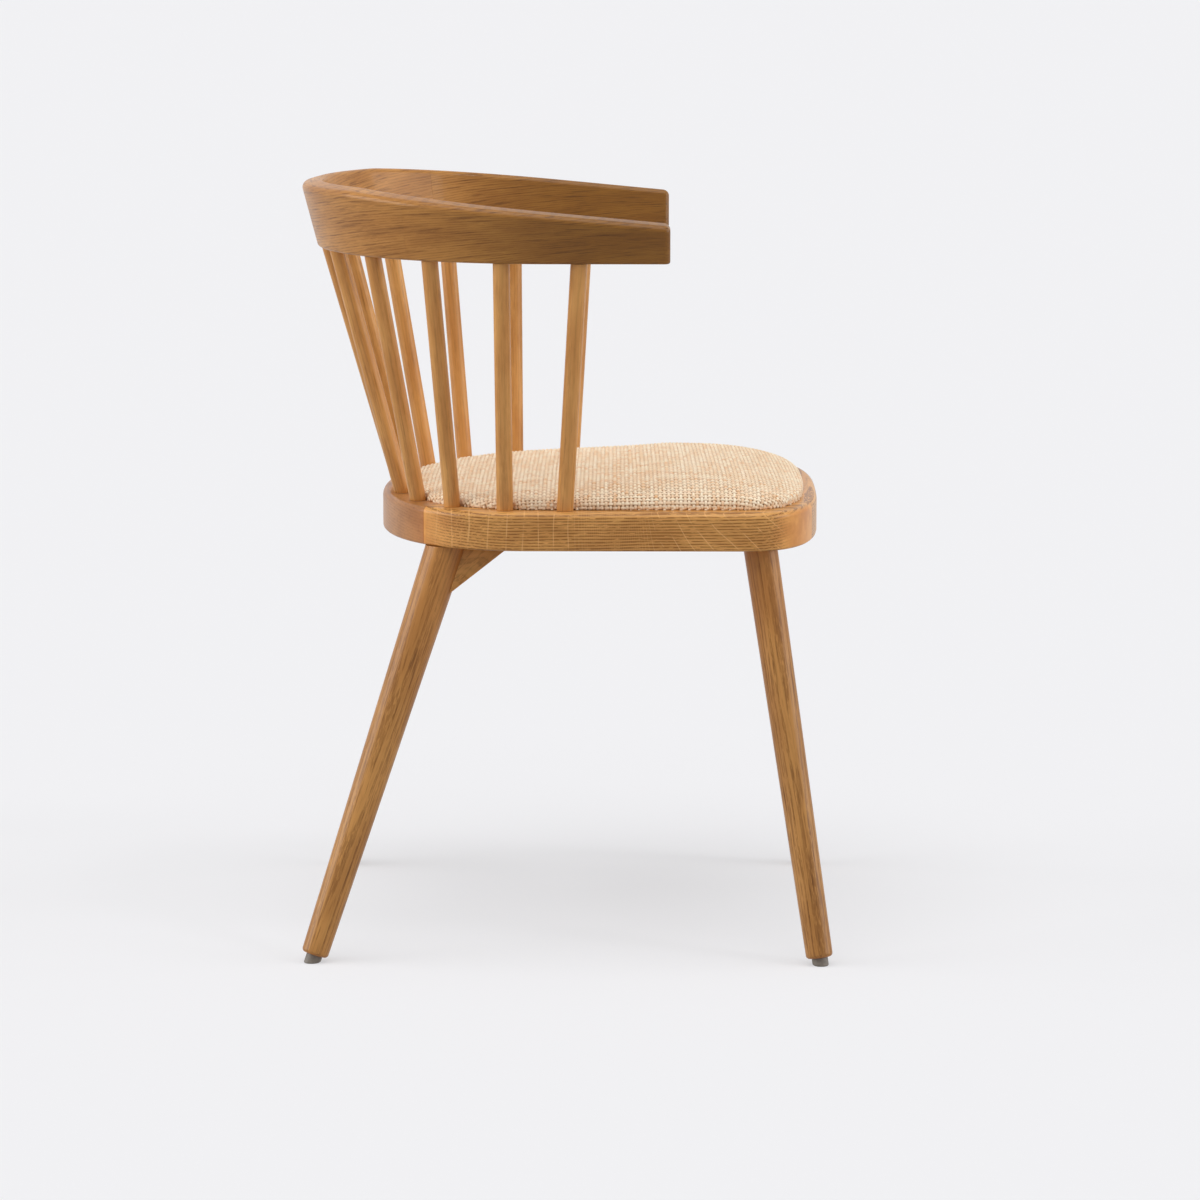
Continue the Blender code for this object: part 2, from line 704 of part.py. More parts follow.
def brace_screw_places(foot, top, diameter):
    """Name, head, direction and length of a brace's screws, both driven from its sloping
    face: one up into the rail and one back into the leg."""
    run = leg_run(foot, top)
    _, upper, lower = brace_corners(foot, top)
    up = upper + (lower - upper) * BRACE_RAIL_SCREW_SHARE
    back = upper + (lower - upper) * BRACE_LEG_SCREW_SHARE
    wood = back.x - run.x * back.y - leg_radius(diameter, SEAT_BOTTOM + back.y)
    places = []
    for name, spot, direction, thickness in (("rail", up, (0, 0, 1), -up.y),
                                             ("leg", back, (-1, 0, 0), wood)):
        head = Vector((top.x + spot.x, top.y + run.y * spot.y, SEAT_BOTTOM + spot.y))
        head += Vector(direction) * BRACE_SCREW_SINK
        length = thickness - BRACE_SCREW_SINK + BRACE_SCREW_BITE
        places.append((name, head, direction, length))
    return places


def build_brace(side, leg, foot, top, diameter, rail):
    """The block between a rear leg and its side rail, with its two screws."""
    brace = add_object(f"leg_brace_{side}", brace_shape(foot, top), *LEG_FINISH)
    brace.location = (top.x, top.y, SEAT_BOTTOM)
    taper = [(0, leg_radius(diameter, 0) + GAP),
             (SEAT_TOP, leg_radius(diameter, SEAT_TOP) + GAP)]
    bed = lean(turned(taper, LEG_SIDES), leg_run(foot, top))
    cut(brace, add_cutter(f"brace_bed_{side}", moved(bed, (foot.x, foot.y, 0))))
    joined = {"rail": rail, "leg": leg}
    for name, place, direction, length in brace_screw_places(foot, top, diameter):
        screw = aimed(turned(screw_profile(length, 0), SMALL_SIDES), place, direction)
        add_object(f"brace_screw_{side}_{name}", screw, *STEEL_FINISH)
        hole = aimed(turned(screw_profile(length, GAP), SMALL_SIDES), place, direction)
        hole = add_cutter(f"brace_screw_hole_{side}_{name}", hole)
        cut(brace, hole)
        cut(joined[name], hole)


def outline_y(x):
    """Half width of the seat's outline behind its widest part, at a distance x."""
    line = seat_half_outline(0, 0, MEASURE_STEPS)
    for start, end in zip(line, line[1:]):
        if start.x <= x <= end.x:
            return start.y + (end.y - start.y) * (x - start.x) / (end.x - start.x)
    return SEAT_HALF_WIDTH


def outline_front_x(y):
    """How far forward the seat's outline reaches at a half width y."""
    line = seat_half_outline(0, 0, MEASURE_STEPS)[::-1]
    for start, end in zip(line, line[1:]):
        if start.y <= y <= end.y:
            return start.x + (end.x - start.x) * (y - start.y) / (end.y - start.y)
    return SEAT_FRONT_X


def build_dowel(name, place, direction, targets):
    """A dowel, and its hole in the two pieces that it joins."""
    half = DOWEL_LENGTH / 2
    radius = DOWEL_DIAMETER / 2
    rod = turned([(-half, radius), (half, radius)], SMALL_SIDES)
    add_object(name, aimed(rod, place, direction), *DOWEL_FINISH)
    half += GAP
    radius += GAP
    room = turned([(-half, radius), (half, radius)], SMALL_SIDES)
    hole = add_cutter(name + "_hole", aimed(room, place, direction))
    for target in targets:
        cut(target, hole)


def build_seat_dowels(rails):
    """Two dowels in each joint of the seat frame: one above the other at the rear, side
    by side at the front."""
    middle_x = (FRONT_RAIL_INNER_X + outline_front_x(SIDE_RAIL_INNER_Y)) / 2
    front_z = SEAT_BOTTOM + FRONT_DOWEL_RISE
    for name, side in SIDES:
        inner, outward, rearward = mitre(side)
        spot = inner + outward * MITRE_DOWEL_EDGE - rearward * (GAP / 2)
        for level, rise in (("lower", MITRE_DOWEL_RISE),
                            ("upper", MITRE_DOWEL_RISE + MITRE_DOWEL_SPACING)):
            build_dowel(f"seat_dowel_rear_{name}_{level}",
                        spot + Vector((0, 0, SEAT_BOTTOM + rise)), rearward,
                        (rails["rear"], rails[name]))
        for end, offset in (("inner", -FRONT_DOWEL_SPACING / 2),
                            ("outer", FRONT_DOWEL_SPACING / 2)):
            build_dowel(f"seat_dowel_front_{name}_{end}",
                        Vector((middle_x + offset, side * SIDE_RAIL_INNER_Y, front_z)),
                        (0, 1, 0), (rails["front"], rails[name]))


def build_bow_dowels(bow):
    """Two dowels, one above the other, in each joint of the bow."""
    for name, side in SIDES:
        point, normal = station(bow_half_line(), side * BOW_JOINT_RUN)
        tangent = bow_lean(normal)
        for level, rise in (("lower", BOW_DOWEL_FIRST_RISE),
                            ("upper", BOW_DOWEL_FIRST_RISE + BOW_DOWEL_SPACING)):
            centre = point + normal * (tangent * rise)
            build_dowel(f"bow_dowel_{name}_{level}",
                        Vector((centre.x, centre.y, BOW_UNDERSIDE + rise)),
                        (normal.y, -normal.x, 0), (bow["back"], bow[name]))


def panel_bottom():
    """Height of the seat panel's underside: it lies on the cover's turned-in edge."""
    return SEAT_TOP + GAP + COVER_THICKNESS + GAP


def pad_outline(inset):
    """The cover's outline, drawn in by inset."""
    return both_halves(seat_half_outline(PAD_SIDE_INSET + inset, PAD_FRONT_INSET + inset))


def level_loop(shape, inset, height):
    """One level ring of vertices, drawn in by inset from the cover's edge."""
    return [shape.verts.new((p.x, p.y, height)) for p in pad_outline(inset)]


def crown_loop(shape, inset, beside, below):
    """One ring of vertices under the cover's outer face where it is drawn in by inset:
    shifted inwards by beside, and down by below."""
    heights = [SEAT_TOP + GAP + cover_rise(point) - below for point in pad_outline(inset)]
    return [shape.verts.new((p.x, p.y, height))
            for p, height in zip(pad_outline(inset + beside), heights)]


def skin(shape, loops):
    """Join rings of vertices one after another, and close the first and the last with a
    fan of faces."""
    for near, far in zip(loops, loops[1:]):
        for index in range(len(near)):
            after = (index + 1) % len(near)
            shape.faces.new((near[index], near[after], far[after], far[index]))
    ends = [shape.faces.new(loops[0]), shape.faces.new(loops[-1])]
    bmesh.ops.poke(shape, faces=ends)


def outward_share(point):
    """How far out a point lies, from 0 in the crown's middle to 1 at the cover's edge."""
    middle = Vector((SEAT_FRONT_X - CROWN_MIDDLE_SETBACK, 0))
    offset = point - middle
    far = middle + offset.normalized() * (SEAT_FRONT_X - SEAT_REAR_X)
    edge = pad_outline(0)
    for start, end in zip(edge, edge[1:] + edge[:1]):
        met = geometry.intersect_line_line_2d(middle, far, start, end)
        if met:
            return min(offset.length / (met - middle).length, 1.0)
    return 1.0


def cover_rise(point):
    """Height of the cover's outer face above its underside: a skirt, then a crown that is
    highest in its front half and falls away to the edge."""
    peak = SEAT_FRONT_X - CROWN_PEAK_SETBACK
    behind = max((peak - point.x) / (peak - SEAT_REAR_X - PAD_SIDE_INSET), 0.0)
    before = max((point.x - peak) / CROWN_FRONT_REACH, 0.0)
    level = (1 - CROWN_REAR_FALL * behind ** CROWN_REAR_POWER) * (1 - before * before)
    inward = 1 - outward_share(point) ** CROWN_POWER
    return COVER_SKIRT + CROWN_HEIGHT * level * inward ** (1 / CROWN_EDGE_POWER)


def crown_insets():
    """How far in from the cover's edge its rings lie, over the edge and up the crown."""
    reach = SEAT_HALF_WIDTH - PAD_SIDE_INSET
    return [PAD_EDGE_INSET * share for share in EDGE_SHARES] + [reach * share
                                                              for share in CROWN_SHARES]


def build_cover():
    """The woven cover: a skin over the pad, round the panel's edge and a little way
    under it."""
    shape = bmesh.new()
    base = SEAT_TOP + GAP
    insets = crown_insets()
    outer = [crown_loop(shape, inset, 0, 0) for inset in insets[::-1]]
    outer.append(level_loop(shape, 0, base))
    outer.append(level_loop(shape, COVER_RETURN, base))
    inner = [level_loop(shape, COVER_RETURN, base + COVER_THICKNESS),
             level_loop(shape, COVER_THICKNESS, base + COVER_THICKNESS)]
    for inset in insets:
        inner.append(crown_loop(shape, inset, COVER_THICKNESS, COVER_THICKNESS))
    skin(shape, outer + inner)
    return add_object("seat_cover", shape, *COVER_FINISH)


def build_panel():
    """The plywood seat panel, its upper edge rounded under the cover."""
    panel = seat_block(PAD_SIDE_INSET + PANEL_INSET, PAD_FRONT_INSET + PANEL_INSET, [],
                       panel_bottom(), PANEL_THICKNESS, ((PANEL_ROUND, 1),))
    return add_object("seat_panel", panel, *PLYWOOD_FINISH)


def build_pad():
    """The foam pad: flat on the panel, crowned under the cover, thin at its edge."""
    shape = bmesh.new()
    under = COVER_THICKNESS + GAP
    insets = [inset for inset in crown_insets() if inset > PAD_EDGE_INSET - GAP]
    loops = [level_loop(shape, PAD_EDGE_INSET + under, panel_bottom() + PANEL_THICKNESS + GAP)]
    loops += [crown_loop(shape, inset, under, under) for inset in insets]
    skin(shape, loops)
    return add_object("seat_pad", shape, *FOAM_FINISH)


def build_panel_screws(panel, rails):
    """The screws that come up through the rails into the panel."""
    side_y = SIDE_RAIL_INNER_Y + PANEL_SCREW_EDGE
    rear_x = SEAT_REAR_X + PANEL_SCREW_REAR_INSET
    middle_x = SEAT_FRONT_X - PANEL_SCREW_MIDDLE_INSET
    front_x = FRONT_RAIL_INNER_X + PANEL_SCREW_EDGE
    height = SEAT_BOTTOM + SCREW_COUNTERSINK
    length = panel_bottom() + PANEL_SCREW_BITE - height
    for name, side in SIDES:
        for spot, x, y, rail in (("rear", rear_x, side_y, rails[name]),
                                 ("middle", middle_x, side_y, rails[name]),
                                 ("front", front_x, PANEL_SCREW_FRONT_Y, rails["front"])):
            place = (x, side * y, height)
            screw = turned(screw_profile(length, 0), SMALL_SIDES)
            add_object(f"panel_screw_{name}_{spot}", moved(screw, place), *STEEL_FINISH)
            hole = moved(turned(screw_profile(length, GAP), SMALL_SIDES), place)
            hole = add_cutter(f"panel_screw_hole_{name}_{spot}", hole)
            cut(rail, hole)
            cut(panel, hole)


def main():
    """Build the chair."""
    clear_objects()
    chair = bpy.data.objects.new("chair", None)
    bpy.context.collection.objects.link(chair)

    rails = build_seat_frame()
    bow = build_bow()
    build_spindles()
    legs = build_legs()
    for name, foot, top, diameter, _ in leg_places():
        kind, side = name.split("_")
        if kind == "rear":
            build_brace(side, legs[name], foot, top, diameter, rails[side])
    build_seat_dowels(rails)
    build_bow_dowels(bow)

    sockets = spindle_sockets()
    tenon_holes = leg_tenon_holes()
    for piece in bow.values():
        cut(piece, sockets)
    for name, rail in rails.items():
        if name != "front":
            cut(rail, sockets)
        if name in ("left", "right"):
            cut(rail, tenon_holes)

    panel = build_panel()
    notches = spindle_notches()
    for piece in (panel, build_pad(), build_cover()):
        cut(piece, notches)
    build_panel_screws(panel, rails)


main()
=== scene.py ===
"""Finished looks of a bow-back dining armchair with a woven seat.

Metres, +Z up, +X to the chair's front, +Y to the sitter's left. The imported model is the
frame: every piece stands where its solids are, and its sizes are read from them where
they can be.
"""
import math
import random

import bmesh
import bpy
import numpy as np
from mathutils import Matrix, Vector


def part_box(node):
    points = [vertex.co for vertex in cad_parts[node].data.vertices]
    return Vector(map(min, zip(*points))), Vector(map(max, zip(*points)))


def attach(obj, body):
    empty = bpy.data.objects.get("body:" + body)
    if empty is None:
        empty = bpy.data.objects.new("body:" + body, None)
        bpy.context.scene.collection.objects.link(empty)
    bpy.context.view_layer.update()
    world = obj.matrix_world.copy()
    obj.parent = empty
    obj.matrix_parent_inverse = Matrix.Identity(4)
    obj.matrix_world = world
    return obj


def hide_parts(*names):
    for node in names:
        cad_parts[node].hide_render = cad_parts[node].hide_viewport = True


bl_info = {
    "name": "Dining armchair",
    "version": (1, 0, 0),
    "blender": (4, 5, 0),
    "location": "3D View > Sidebar > Chair",
    "description": "Builds the finished looks of a bow-back armchair with a woven seat",
    "category": "Object",
}

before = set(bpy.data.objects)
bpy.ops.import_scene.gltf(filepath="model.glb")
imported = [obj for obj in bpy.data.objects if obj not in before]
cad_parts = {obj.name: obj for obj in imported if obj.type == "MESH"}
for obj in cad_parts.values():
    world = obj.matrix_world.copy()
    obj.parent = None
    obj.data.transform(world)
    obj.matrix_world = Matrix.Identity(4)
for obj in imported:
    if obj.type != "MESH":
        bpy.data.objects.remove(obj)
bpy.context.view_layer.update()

BODY = "root"
SIDES = (("right", -1), ("left", 1))

# Fineness of the curved shapes
CURVE_STEPS = 48
MEASURE_STEPS = 200
NORMAL_REACH = 0.004
BOW_STEP = 0.006

# Clearance between touching pieces, finer in the bow's joints, the rounding of a brace's
# edges, the depth of the rooms for screw heads, and how soon the bow's fibre starts to rise
GAP = 0.0003
BOW_JOINT_GAP = 0.0001
BRACE_ROUND = 0.0008
SCREW_ROOM = 0.0033
FIBRE_LEVELS = 0.1

# Distances that count as nothing, and the angle from which an edge is a corner
SAME_PLACE = 1e-6
SAME_PLANE = 1e-5
SAME_RING = 2e-5
CORNER_ANGLE = 0.7

# Where the frame's solids lie
SEAT_BOTTOM, SEAT_TOP = (corner.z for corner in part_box("seat_rail_left"))
SIDE_RAIL_INNER_Y, SEAT_HALF_WIDTH = (corner.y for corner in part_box("seat_rail_left"))
SEAT_REAR_X, REAR_RAIL_INNER_X = (corner.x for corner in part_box("seat_rail_rear"))
FRONT_RAIL_INNER_X, SEAT_FRONT_X = (corner.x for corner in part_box("seat_rail_front"))
BOW_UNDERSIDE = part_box("bow_back")[0].z
ARM_END_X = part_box("bow_arm_left")[1].x
SPINDLES = sorted(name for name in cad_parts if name.startswith("spindle_"))


def length(name, description, default):
    """A length that a user would change."""
    return bpy.props.FloatProperty(name=name, description=description, default=default,
                                   unit="LENGTH", subtype="DISTANCE", precision=4)


def share(name, description, default):
    """A plain number that a user would change."""
    return bpy.props.FloatProperty(name=name, description=description, default=default)


def colour(name, description, default):
    """A colour that a user would change."""
    return bpy.props.FloatVectorProperty(name=name, description=description, size=3,
                                         default=default, subtype="COLOR", min=0, max=1)


class ChairSizes(bpy.types.PropertyGroup):
    """Sizes of the chair's pieces that its solids alone don't give"""
    seat_rear_depth: length("Rear curve depth", "Length of the seat's rear curve", 0.154)
    seat_rear_power: share("Rear curve fullness", "Superellipse power of the rear curve", 2.25)
    seat_front_depth: length("Front curve depth", "Length of the seat's front curve", 0.084)
    seat_front_power: share("Front curve fullness", "Superellipse power of the front curve",
                            2.9)
    rear_joint_inset: length("Rear joint inset", "Rear edge to the side rails' joint", 0.048)
    top_round: length("Rail top rounding", "Rounding of the seat rails' upper edge", 0.006)
    bottom_round: length("Rail lower rounding", "Rounding of the rails' lower edge", 0.0025)
    bow_thickness: length("Bow thickness", "Thickness of the bow's board", 0.022)
    bow_side_overhang: length("Bow side overhang", "Bow's middle beyond the seat's side", 0.012)
    bow_rear_overhang: length("Bow rear overhang", "Bow's middle beyond the seat's rear", 0.0535)
    bow_curve_depth: length("Bow curve depth", "Length of the bow's rear curve", 0.230)
    bow_back_height: length("Bow back height", "Height of the board round the back", 0.066)
    bow_arm_height: length("Bow arm height", "Height of the board at the arms' ends", 0.0378)
    bow_lean_back: share("Bow lean at the back", "Outward lean for each unit of height", 0.262)
    bow_lean_side: share("Bow lean at the sides", "Outward lean for each unit of height", 0.144)
    bow_top_round: length("Bow top rounding", "Rounding of the bow's upper edges", 0.006)
    bow_bottom_round: length("Bow lower rounding", "Rounding of the bow's lower edges", 0.0025)
    bow_fibre_slope: share("Bow fibre slope", "Rise of the arms' fibre along them", 0.20)
    bow_joint_run: length("Bow joint run", "Rear centre to the arm's joint, round it", 0.2095)
    bow_slope_start: length("Arm slope start", "Where along X the arm starts to sink", -0.195)
    bow_slope_power: share("Arm slope power", "How late the arm sinks", 1.0)
    spindle_diameter: length("Spindle diameter", "Diameter of a spindle", 0.0164)
    tenon_diameter: length("Spindle tenon", "Diameter of a spindle's tenons", 0.011)
    leg_foot_diameter: length("Leg foot diameter", "Diameter of a leg at the floor", 0.0265)
    leg_tenon_diameter: length("Leg tenon", "Diameter of a leg's tenon", 0.018)
    leg_end_height: length("Leg end height", "Height of a leg's lower end", 0.0075)
    leg_end_round: length("Leg end rounding", "Rounding of a leg's lower edge", 0.0035)
    glide_diameter: length("Glide diameter", "Diameter of a glide", 0.016)
    glide_round: length("Glide rounding", "Rounding of a glide's edge", 0.0015)
    brace_thickness: length("Brace thickness", "Thickness of a brace", 0.018)
    brace_reach: length("Brace reach", "Length of a brace along the rail", 0.064)
    brace_drop: length("Brace drop", "Height of a brace along the leg", 0.066)


class SeatWeave(bpy.types.PropertyGroup):
    """Sizes of the woven seat"""
    side_inset: length("Side inset", "Seat's side to the weave's edge", 0.0225)
    front_inset: length("Front inset", "Seat's front to the weave's edge", 0.0145)
    pitch: length("Pitch", "Spacing of the strands", 0.0041)
    strand_width: length("Strand width", "Width of a strand", 0.0033)
    strand_thickness: length("Strand thickness", "Thickness of a strand", 0.0013)
    wave: length("Wave", "Rise and fall of a strand", 0.0009)
    sink: length("Sink", "Strands' middle below the crown's surface", 0.0009)
    skirt: length("Skirt", "Upright height of the weave's edge", 0.0042)
    crown: length("Crown", "Height of the crown above the skirt", 0.0285)
    crown_centre: length("Crown centre", "Place of the crown's middle along X", 0.06)
    crown_power: share("Crown power", "Roundness of the crown from the middle", 2.2)
    edge_power: share("Edge power", "Fullness of the crown at its edge", 2.2)
    crown_fall: share("Rear fall", "Share of the crown's height lost towards the rear", 0.62)
    roll: length("Roll", "Width of the edge where the strands turn down", 0.020)
    dent: length("Dent", "Depth of the edge's dent behind a spindle", 0.0050)
    dent_reach: length("Dent reach", "Half width of a dent", 0.0085)
    fan: share("Fan", "Rearward lean of the front columns", 0.047)


class ChairColours(bpy.types.PropertyGroup):
    """Colours of the chair's finishes"""
    spindle: colour("Spindles", "Honey oak of the spindles", (0.690, 0.378, 0.128))
    back: colour("Back", "Oak of the bow's back segment", (0.590, 0.272, 0.066))
    # The colour the bow darkens to along its arms, towards their ends
    arm: colour("Arms", "Browner oak of the bow's arms", (0.300, 0.128, 0.017))
    rail: colour("Side rails", "Oak of the side and front rails", (0.765, 0.388, 0.114))
    rear_rail: colour("Rear rail", "Redder oak of the rear rail", (0.485, 0.220, 0.073))
    leg: colour("Legs", "Oak of the legs and braces", (0.560, 0.270, 0.075))
    straw: colour("Straw", "Pale straw of the weave", (0.990, 0.800, 0.590))
    # Painted shade of the weave: the colour the strands darken to along their sides and where
    # they dip under another. The pad takes a darker copy of it, and the weave's specks a lighter
    # one
    straw_painted_shade: colour("Straw shade", "Brown of the weave's gaps", (0.390, 0.170, 0.052))
    floor: colour("Floor", "Floor and background", (0.876, 0.876, 0.895))
    bounce: colour("Floor bounce", "What the floor throws on the chair", (0.45, 0.45, 0.45))
    glide: colour("Glides", "Grey brown plastic of the glides", (0.200, 0.170, 0.140))
    steel: colour("Steel", "Screws and nails", (0.550, 0.550, 0.560))


# Outline and bow, as the solids have them


def sizes():
    """The sizes in use."""
    return bpy.context.scene.chair_sizes


def weave():
    """The woven seat's sizes in use."""
    return bpy.context.scene.chair_weave


def tones():
    """The colours in use."""
    return bpy.context.scene.chair_colours


def quadrant(apex_x, depth, half_width, power, toward, steps):
    """Quarter of a superellipse from its apex on the centre line to its tangent at the
    side. toward is 1 where the side lies in front of the apex and -1 where behind."""
    points = []
    for step in range(steps + 1):
        angle = step / steps * math.pi / 2
        sideways = half_width * math.sin(angle) ** (2 / power)
        inward = depth * (1 - max(math.cos(angle), 0.0) ** (2 / power))
        points.append(Vector((apex_x + toward * inward, sideways)))
    return points


def seat_half_outline(side_inset, front_inset, steps=CURVE_STEPS):
    """Half of the seat's outline, from the rear centre round the side to the front."""
    s = sizes()
    width = SEAT_HALF_WIDTH - side_inset
    rear = quadrant(SEAT_REAR_X + side_inset, s.seat_rear_depth - side_inset / 2, width,
                    s.seat_rear_power, 1, steps)
    front = quadrant(SEAT_FRONT_X - front_inset, s.seat_front_depth - front_inset / 2, width,
                     s.seat_front_power, -1, steps)
    return rear + front[::-1]


def both_halves(half):
    """A closed outline from a half outline that starts and ends on the centre line."""
    mirrored = [Vector((p.x, -p.y)) for p in half[1:-1]]
    return half + mirrored[::-1]


def point_along(line, distance):
    """Point at a distance along a half line from its start on the centre line. A
    negative distance gives the mirrored point on the other side."""
    left = abs(distance)
    for start, end in zip(line, line[1:]):
        reach = (end - start).length
        if left <= reach or end is line[-1]:
            break
        left -= reach
    point = start + (end - start).normalized() * left
    return Vector((point.x, math.copysign(point.y, distance)))


def station(line, distance):
    """Point and outward normal at a distance along a half line."""
    ahead = point_along(line, distance + NORMAL_REACH)
    along = (ahead - point_along(line, distance - NORMAL_REACH)).normalized()
    return point_along(line, distance), Vector((-along.y, along.x))


def line_length(line):
    """Length of a half line."""
    return sum((end - start).length for start, end in zip(line, line[1:]))


def bow_half_line():
    """Half of the bow's middle line, from the rear centre to the end of the arm."""
    s = sizes()
    span = SEAT_HALF_WIDTH + s.bow_side_overhang
    curve = quadrant(SEAT_REAR_X - s.bow_rear_overhang, s.bow_curve_depth, span, 2.0, 1,
                     MEASURE_STEPS)
    return curve + [Vector((ARM_END_X, span))]


def bow_height(x):
    """Height of the bow's board: even round the back, less and less along the arms."""
    s = sizes()
    run = (x - s.bow_slope_start) / (ARM_END_X - s.bow_slope_start)
    run = min(max(run, 0.0), 1.0) ** s.bow_slope_power
    return s.bow_back_height + (s.bow_arm_height - s.bow_back_height) * run


def ring_at(node, height):
    """The vertices of a turned node that are nearest to a height."""
    points = {tuple(round(c, 6) for c in v.co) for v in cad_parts[node].data.vertices}
    nearest = min(abs(p[2] - height) for p in points)
    return [Vector(p) for p in points if abs(abs(p[2] - height) - nearest) < SAME_RING]


def middle_of(points):
    """The middle of some points."""
    return sum(points, Vector()) / len(points)


# Making pieces


def mesh_of(name, shape):
    """A mesh of a bmesh, which is freed."""
    mesh = bpy.data.meshes.new(name)
    shape.to_mesh(mesh)
    shape.free()
    return mesh


def in_scene(name, data):
    """An object of a mesh, a lamp or a camera."""
    made = bpy.data.objects.new(name, data)
    bpy.context.scene.collection.objects.link(made)
    return made


def add_piece(name, shape, finish, stands_for, grain=None, sharp_angle=35):
    """Turn a bmesh into a shaded piece that rides on the chair and stands for its nodes."""
    mesh = mesh_of(name, shape)
    mesh.shade_smooth()
    mesh.set_sharp_from_angle(angle=math.radians(sharp_angle))
    mesh.materials.append(finish)
    piece = in_scene(name, mesh)
    if grain is not None:
        set_grain(mesh, grain)
    weighted = piece.modifiers.new("even_shading", "WEIGHTED_NORMAL")
    weighted.keep_sharp = True
    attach(piece, BODY)
    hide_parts(*stands_for)
    return piece


def set_grain(mesh, matrix):
    """Give a mesh its place in the tree: a vector at each vertex, along the fibre, across
    the growth rings and along them. end_grain is 1 where the surface faces along the
    fibre and 0 where it lies along it."""
    turn = np.array(matrix)
    places, normals = np.empty((2, len(mesh.vertices) * 3), np.float32)
    mesh.vertices.foreach_get("co", places)
    mesh.vertex_normals.foreach_get("vector", normals)
    places, normals = (side.reshape(-1, 3) @ turn[:3, :3].T for side in (places, normals))
    grain = mesh.attributes.new("grain", "FLOAT_VECTOR", "POINT")
    grain.data.foreach_set("vector", (places + turn[:3, 3]).astype(np.float32).ravel())
    end_grain = mesh.attributes.new("end_grain", "FLOAT", "POINT")
    end_grain.data.foreach_set("value", np.abs(normals[:, 0]).astype(np.float32))


def any_side(seed):
    """A level direction drawn by chance."""
    turn = random.Random(seed).uniform(0, 3)
    return math.cos(turn), math.sin(turn), 0


def grain_matrix(fibre, across, offset):
    """Turns a place in the chair into a place in the tree. fibre and across are directions
    in the chair; offset keeps two pieces from showing the same stretch of wood."""
    along = Vector(fibre).normalized()
    ring = Vector(across)
    ring = (ring - along * ring.dot(along)).normalized()
    turn = Matrix((along, ring, along.cross(ring))).to_4x4()
    return Matrix.Translation(offset) @ turn


def cut(shape, cutters):
    """Take the cutters' shapes out of a bmesh."""
    made = [in_scene("cut", mesh_of("cut", part)) for part in (shape, joined(cutters))]
    boolean = made[0].modifiers.new("cut", "BOOLEAN")
    boolean.operation = "DIFFERENCE"
    boolean.solver = "EXACT"
    boolean.object = made[1]
    left = bmesh.new()
    left.from_object(made[0], bpy.context.evaluated_depsgraph_get())
    for part in made:
        bpy.data.meshes.remove(part.data)
    if not left.faces:
        raise ValueError("the cut left nothing")
    return left


def joined(parts):
    """Several bmeshes as one."""
    whole = bmesh.new()
    for part in parts:
        mesh = mesh_of("part", part)
        whole.from_mesh(mesh)
        bpy.data.meshes.remove(mesh)
    return whole


def turned(profile, sides):
    """A solid of revolution about Z from (height, radius) points, closed on the axis."""
    shape = bmesh.new()
    heights = [profile[0][0]] + [z for z, _ in profile] + [profile[-1][0]]
    radii = [0.0] + [r for _, r in profile] + [0.0]
    verts = [shape.verts.new((r, 0, z)) for z, r in zip(heights, radii)]
    edges = [shape.edges.new(pair) for pair in zip(verts, verts[1:])]
    bmesh.ops.spin(shape, geom=verts + edges, cent=(0, 0, 0), axis=(0, 0, 1),
                   dvec=(0, 0, 0), angle=2 * math.pi, steps=sides,
                   use_merge=True, use_duplicate=False)
    bmesh.ops.remove_doubles(shape, verts=shape.verts, dist=SAME_PLACE)
    bmesh.ops.recalc_face_normals(shape, faces=shape.faces)
    return shape


def lean_matrix(run):
    """Shears an upright turned shape so that it follows run (sideways travel for each unit
    of height) and still measures its own radius square to its axis."""
    slope = run.length
    stretch = math.sqrt(1 + slope * slope) - 1
    ux, uy = (run / slope) if slope else (1.0, 0.0)
    return Matrix(((1 + stretch * ux * ux, stretch * ux * uy, run.x, 0),
                   (stretch * ux * uy, 1 + stretch * uy * uy, run.y, 0),
                   (0, 0, 1, 0), (0, 0, 0, 1)))


def placed(shape, matrix):
    """Move a shape by a matrix."""
    bmesh.ops.transform(shape, matrix=matrix, verts=shape.verts)
    return shape


def sawn(shape, place, direction, keep=False):
    """Cut a shape by a plane, and take away what lies beyond it unless it is to be kept."""
    bmesh.ops.bisect_plane(shape, geom=shape.verts[:] + shape.edges[:] + shape.faces[:],
                           plane_co=place, plane_no=direction, clear_outer=not keep)


def thickened(shape, travel):
    """Make a solid of a flat shape."""
    raised = bmesh.ops.extrude_face_region(shape, geom=shape.faces[:])
    lifted = [item for item in raised["geom"] if isinstance(item, bmesh.types.BMVert)]
    bmesh.ops.translate(shape, vec=travel, verts=lifted)
    bmesh.ops.recalc_face_normals(shape, faces=shape.faces)


def rounded(shape, edges, size, segments):
    """Round edges of a shape."""
    bmesh.ops.bevel(shape, geom=edges, offset=size, offset_type="OFFSET", segments=segments,
                    profile=0.5, affect="EDGES", material=-1)


def closed(shape):
    """Fill a shape's open rims. Gives their edges."""
    rim = [edge for edge in shape.edges if edge.is_boundary]
    bmesh.ops.holes_fill(shape, edges=rim, sides=0)
    bmesh.ops.recalc_face_normals(shape, faces=shape.faces)
    return rim


def trim(shape, place, direction, rounding, segments=4):
    """Cut away what lies beyond a plane, close the cut and round its edge."""
    sawn(shape, place, direction)
    rounded(shape, closed(shape), rounding, segments)
    return shape


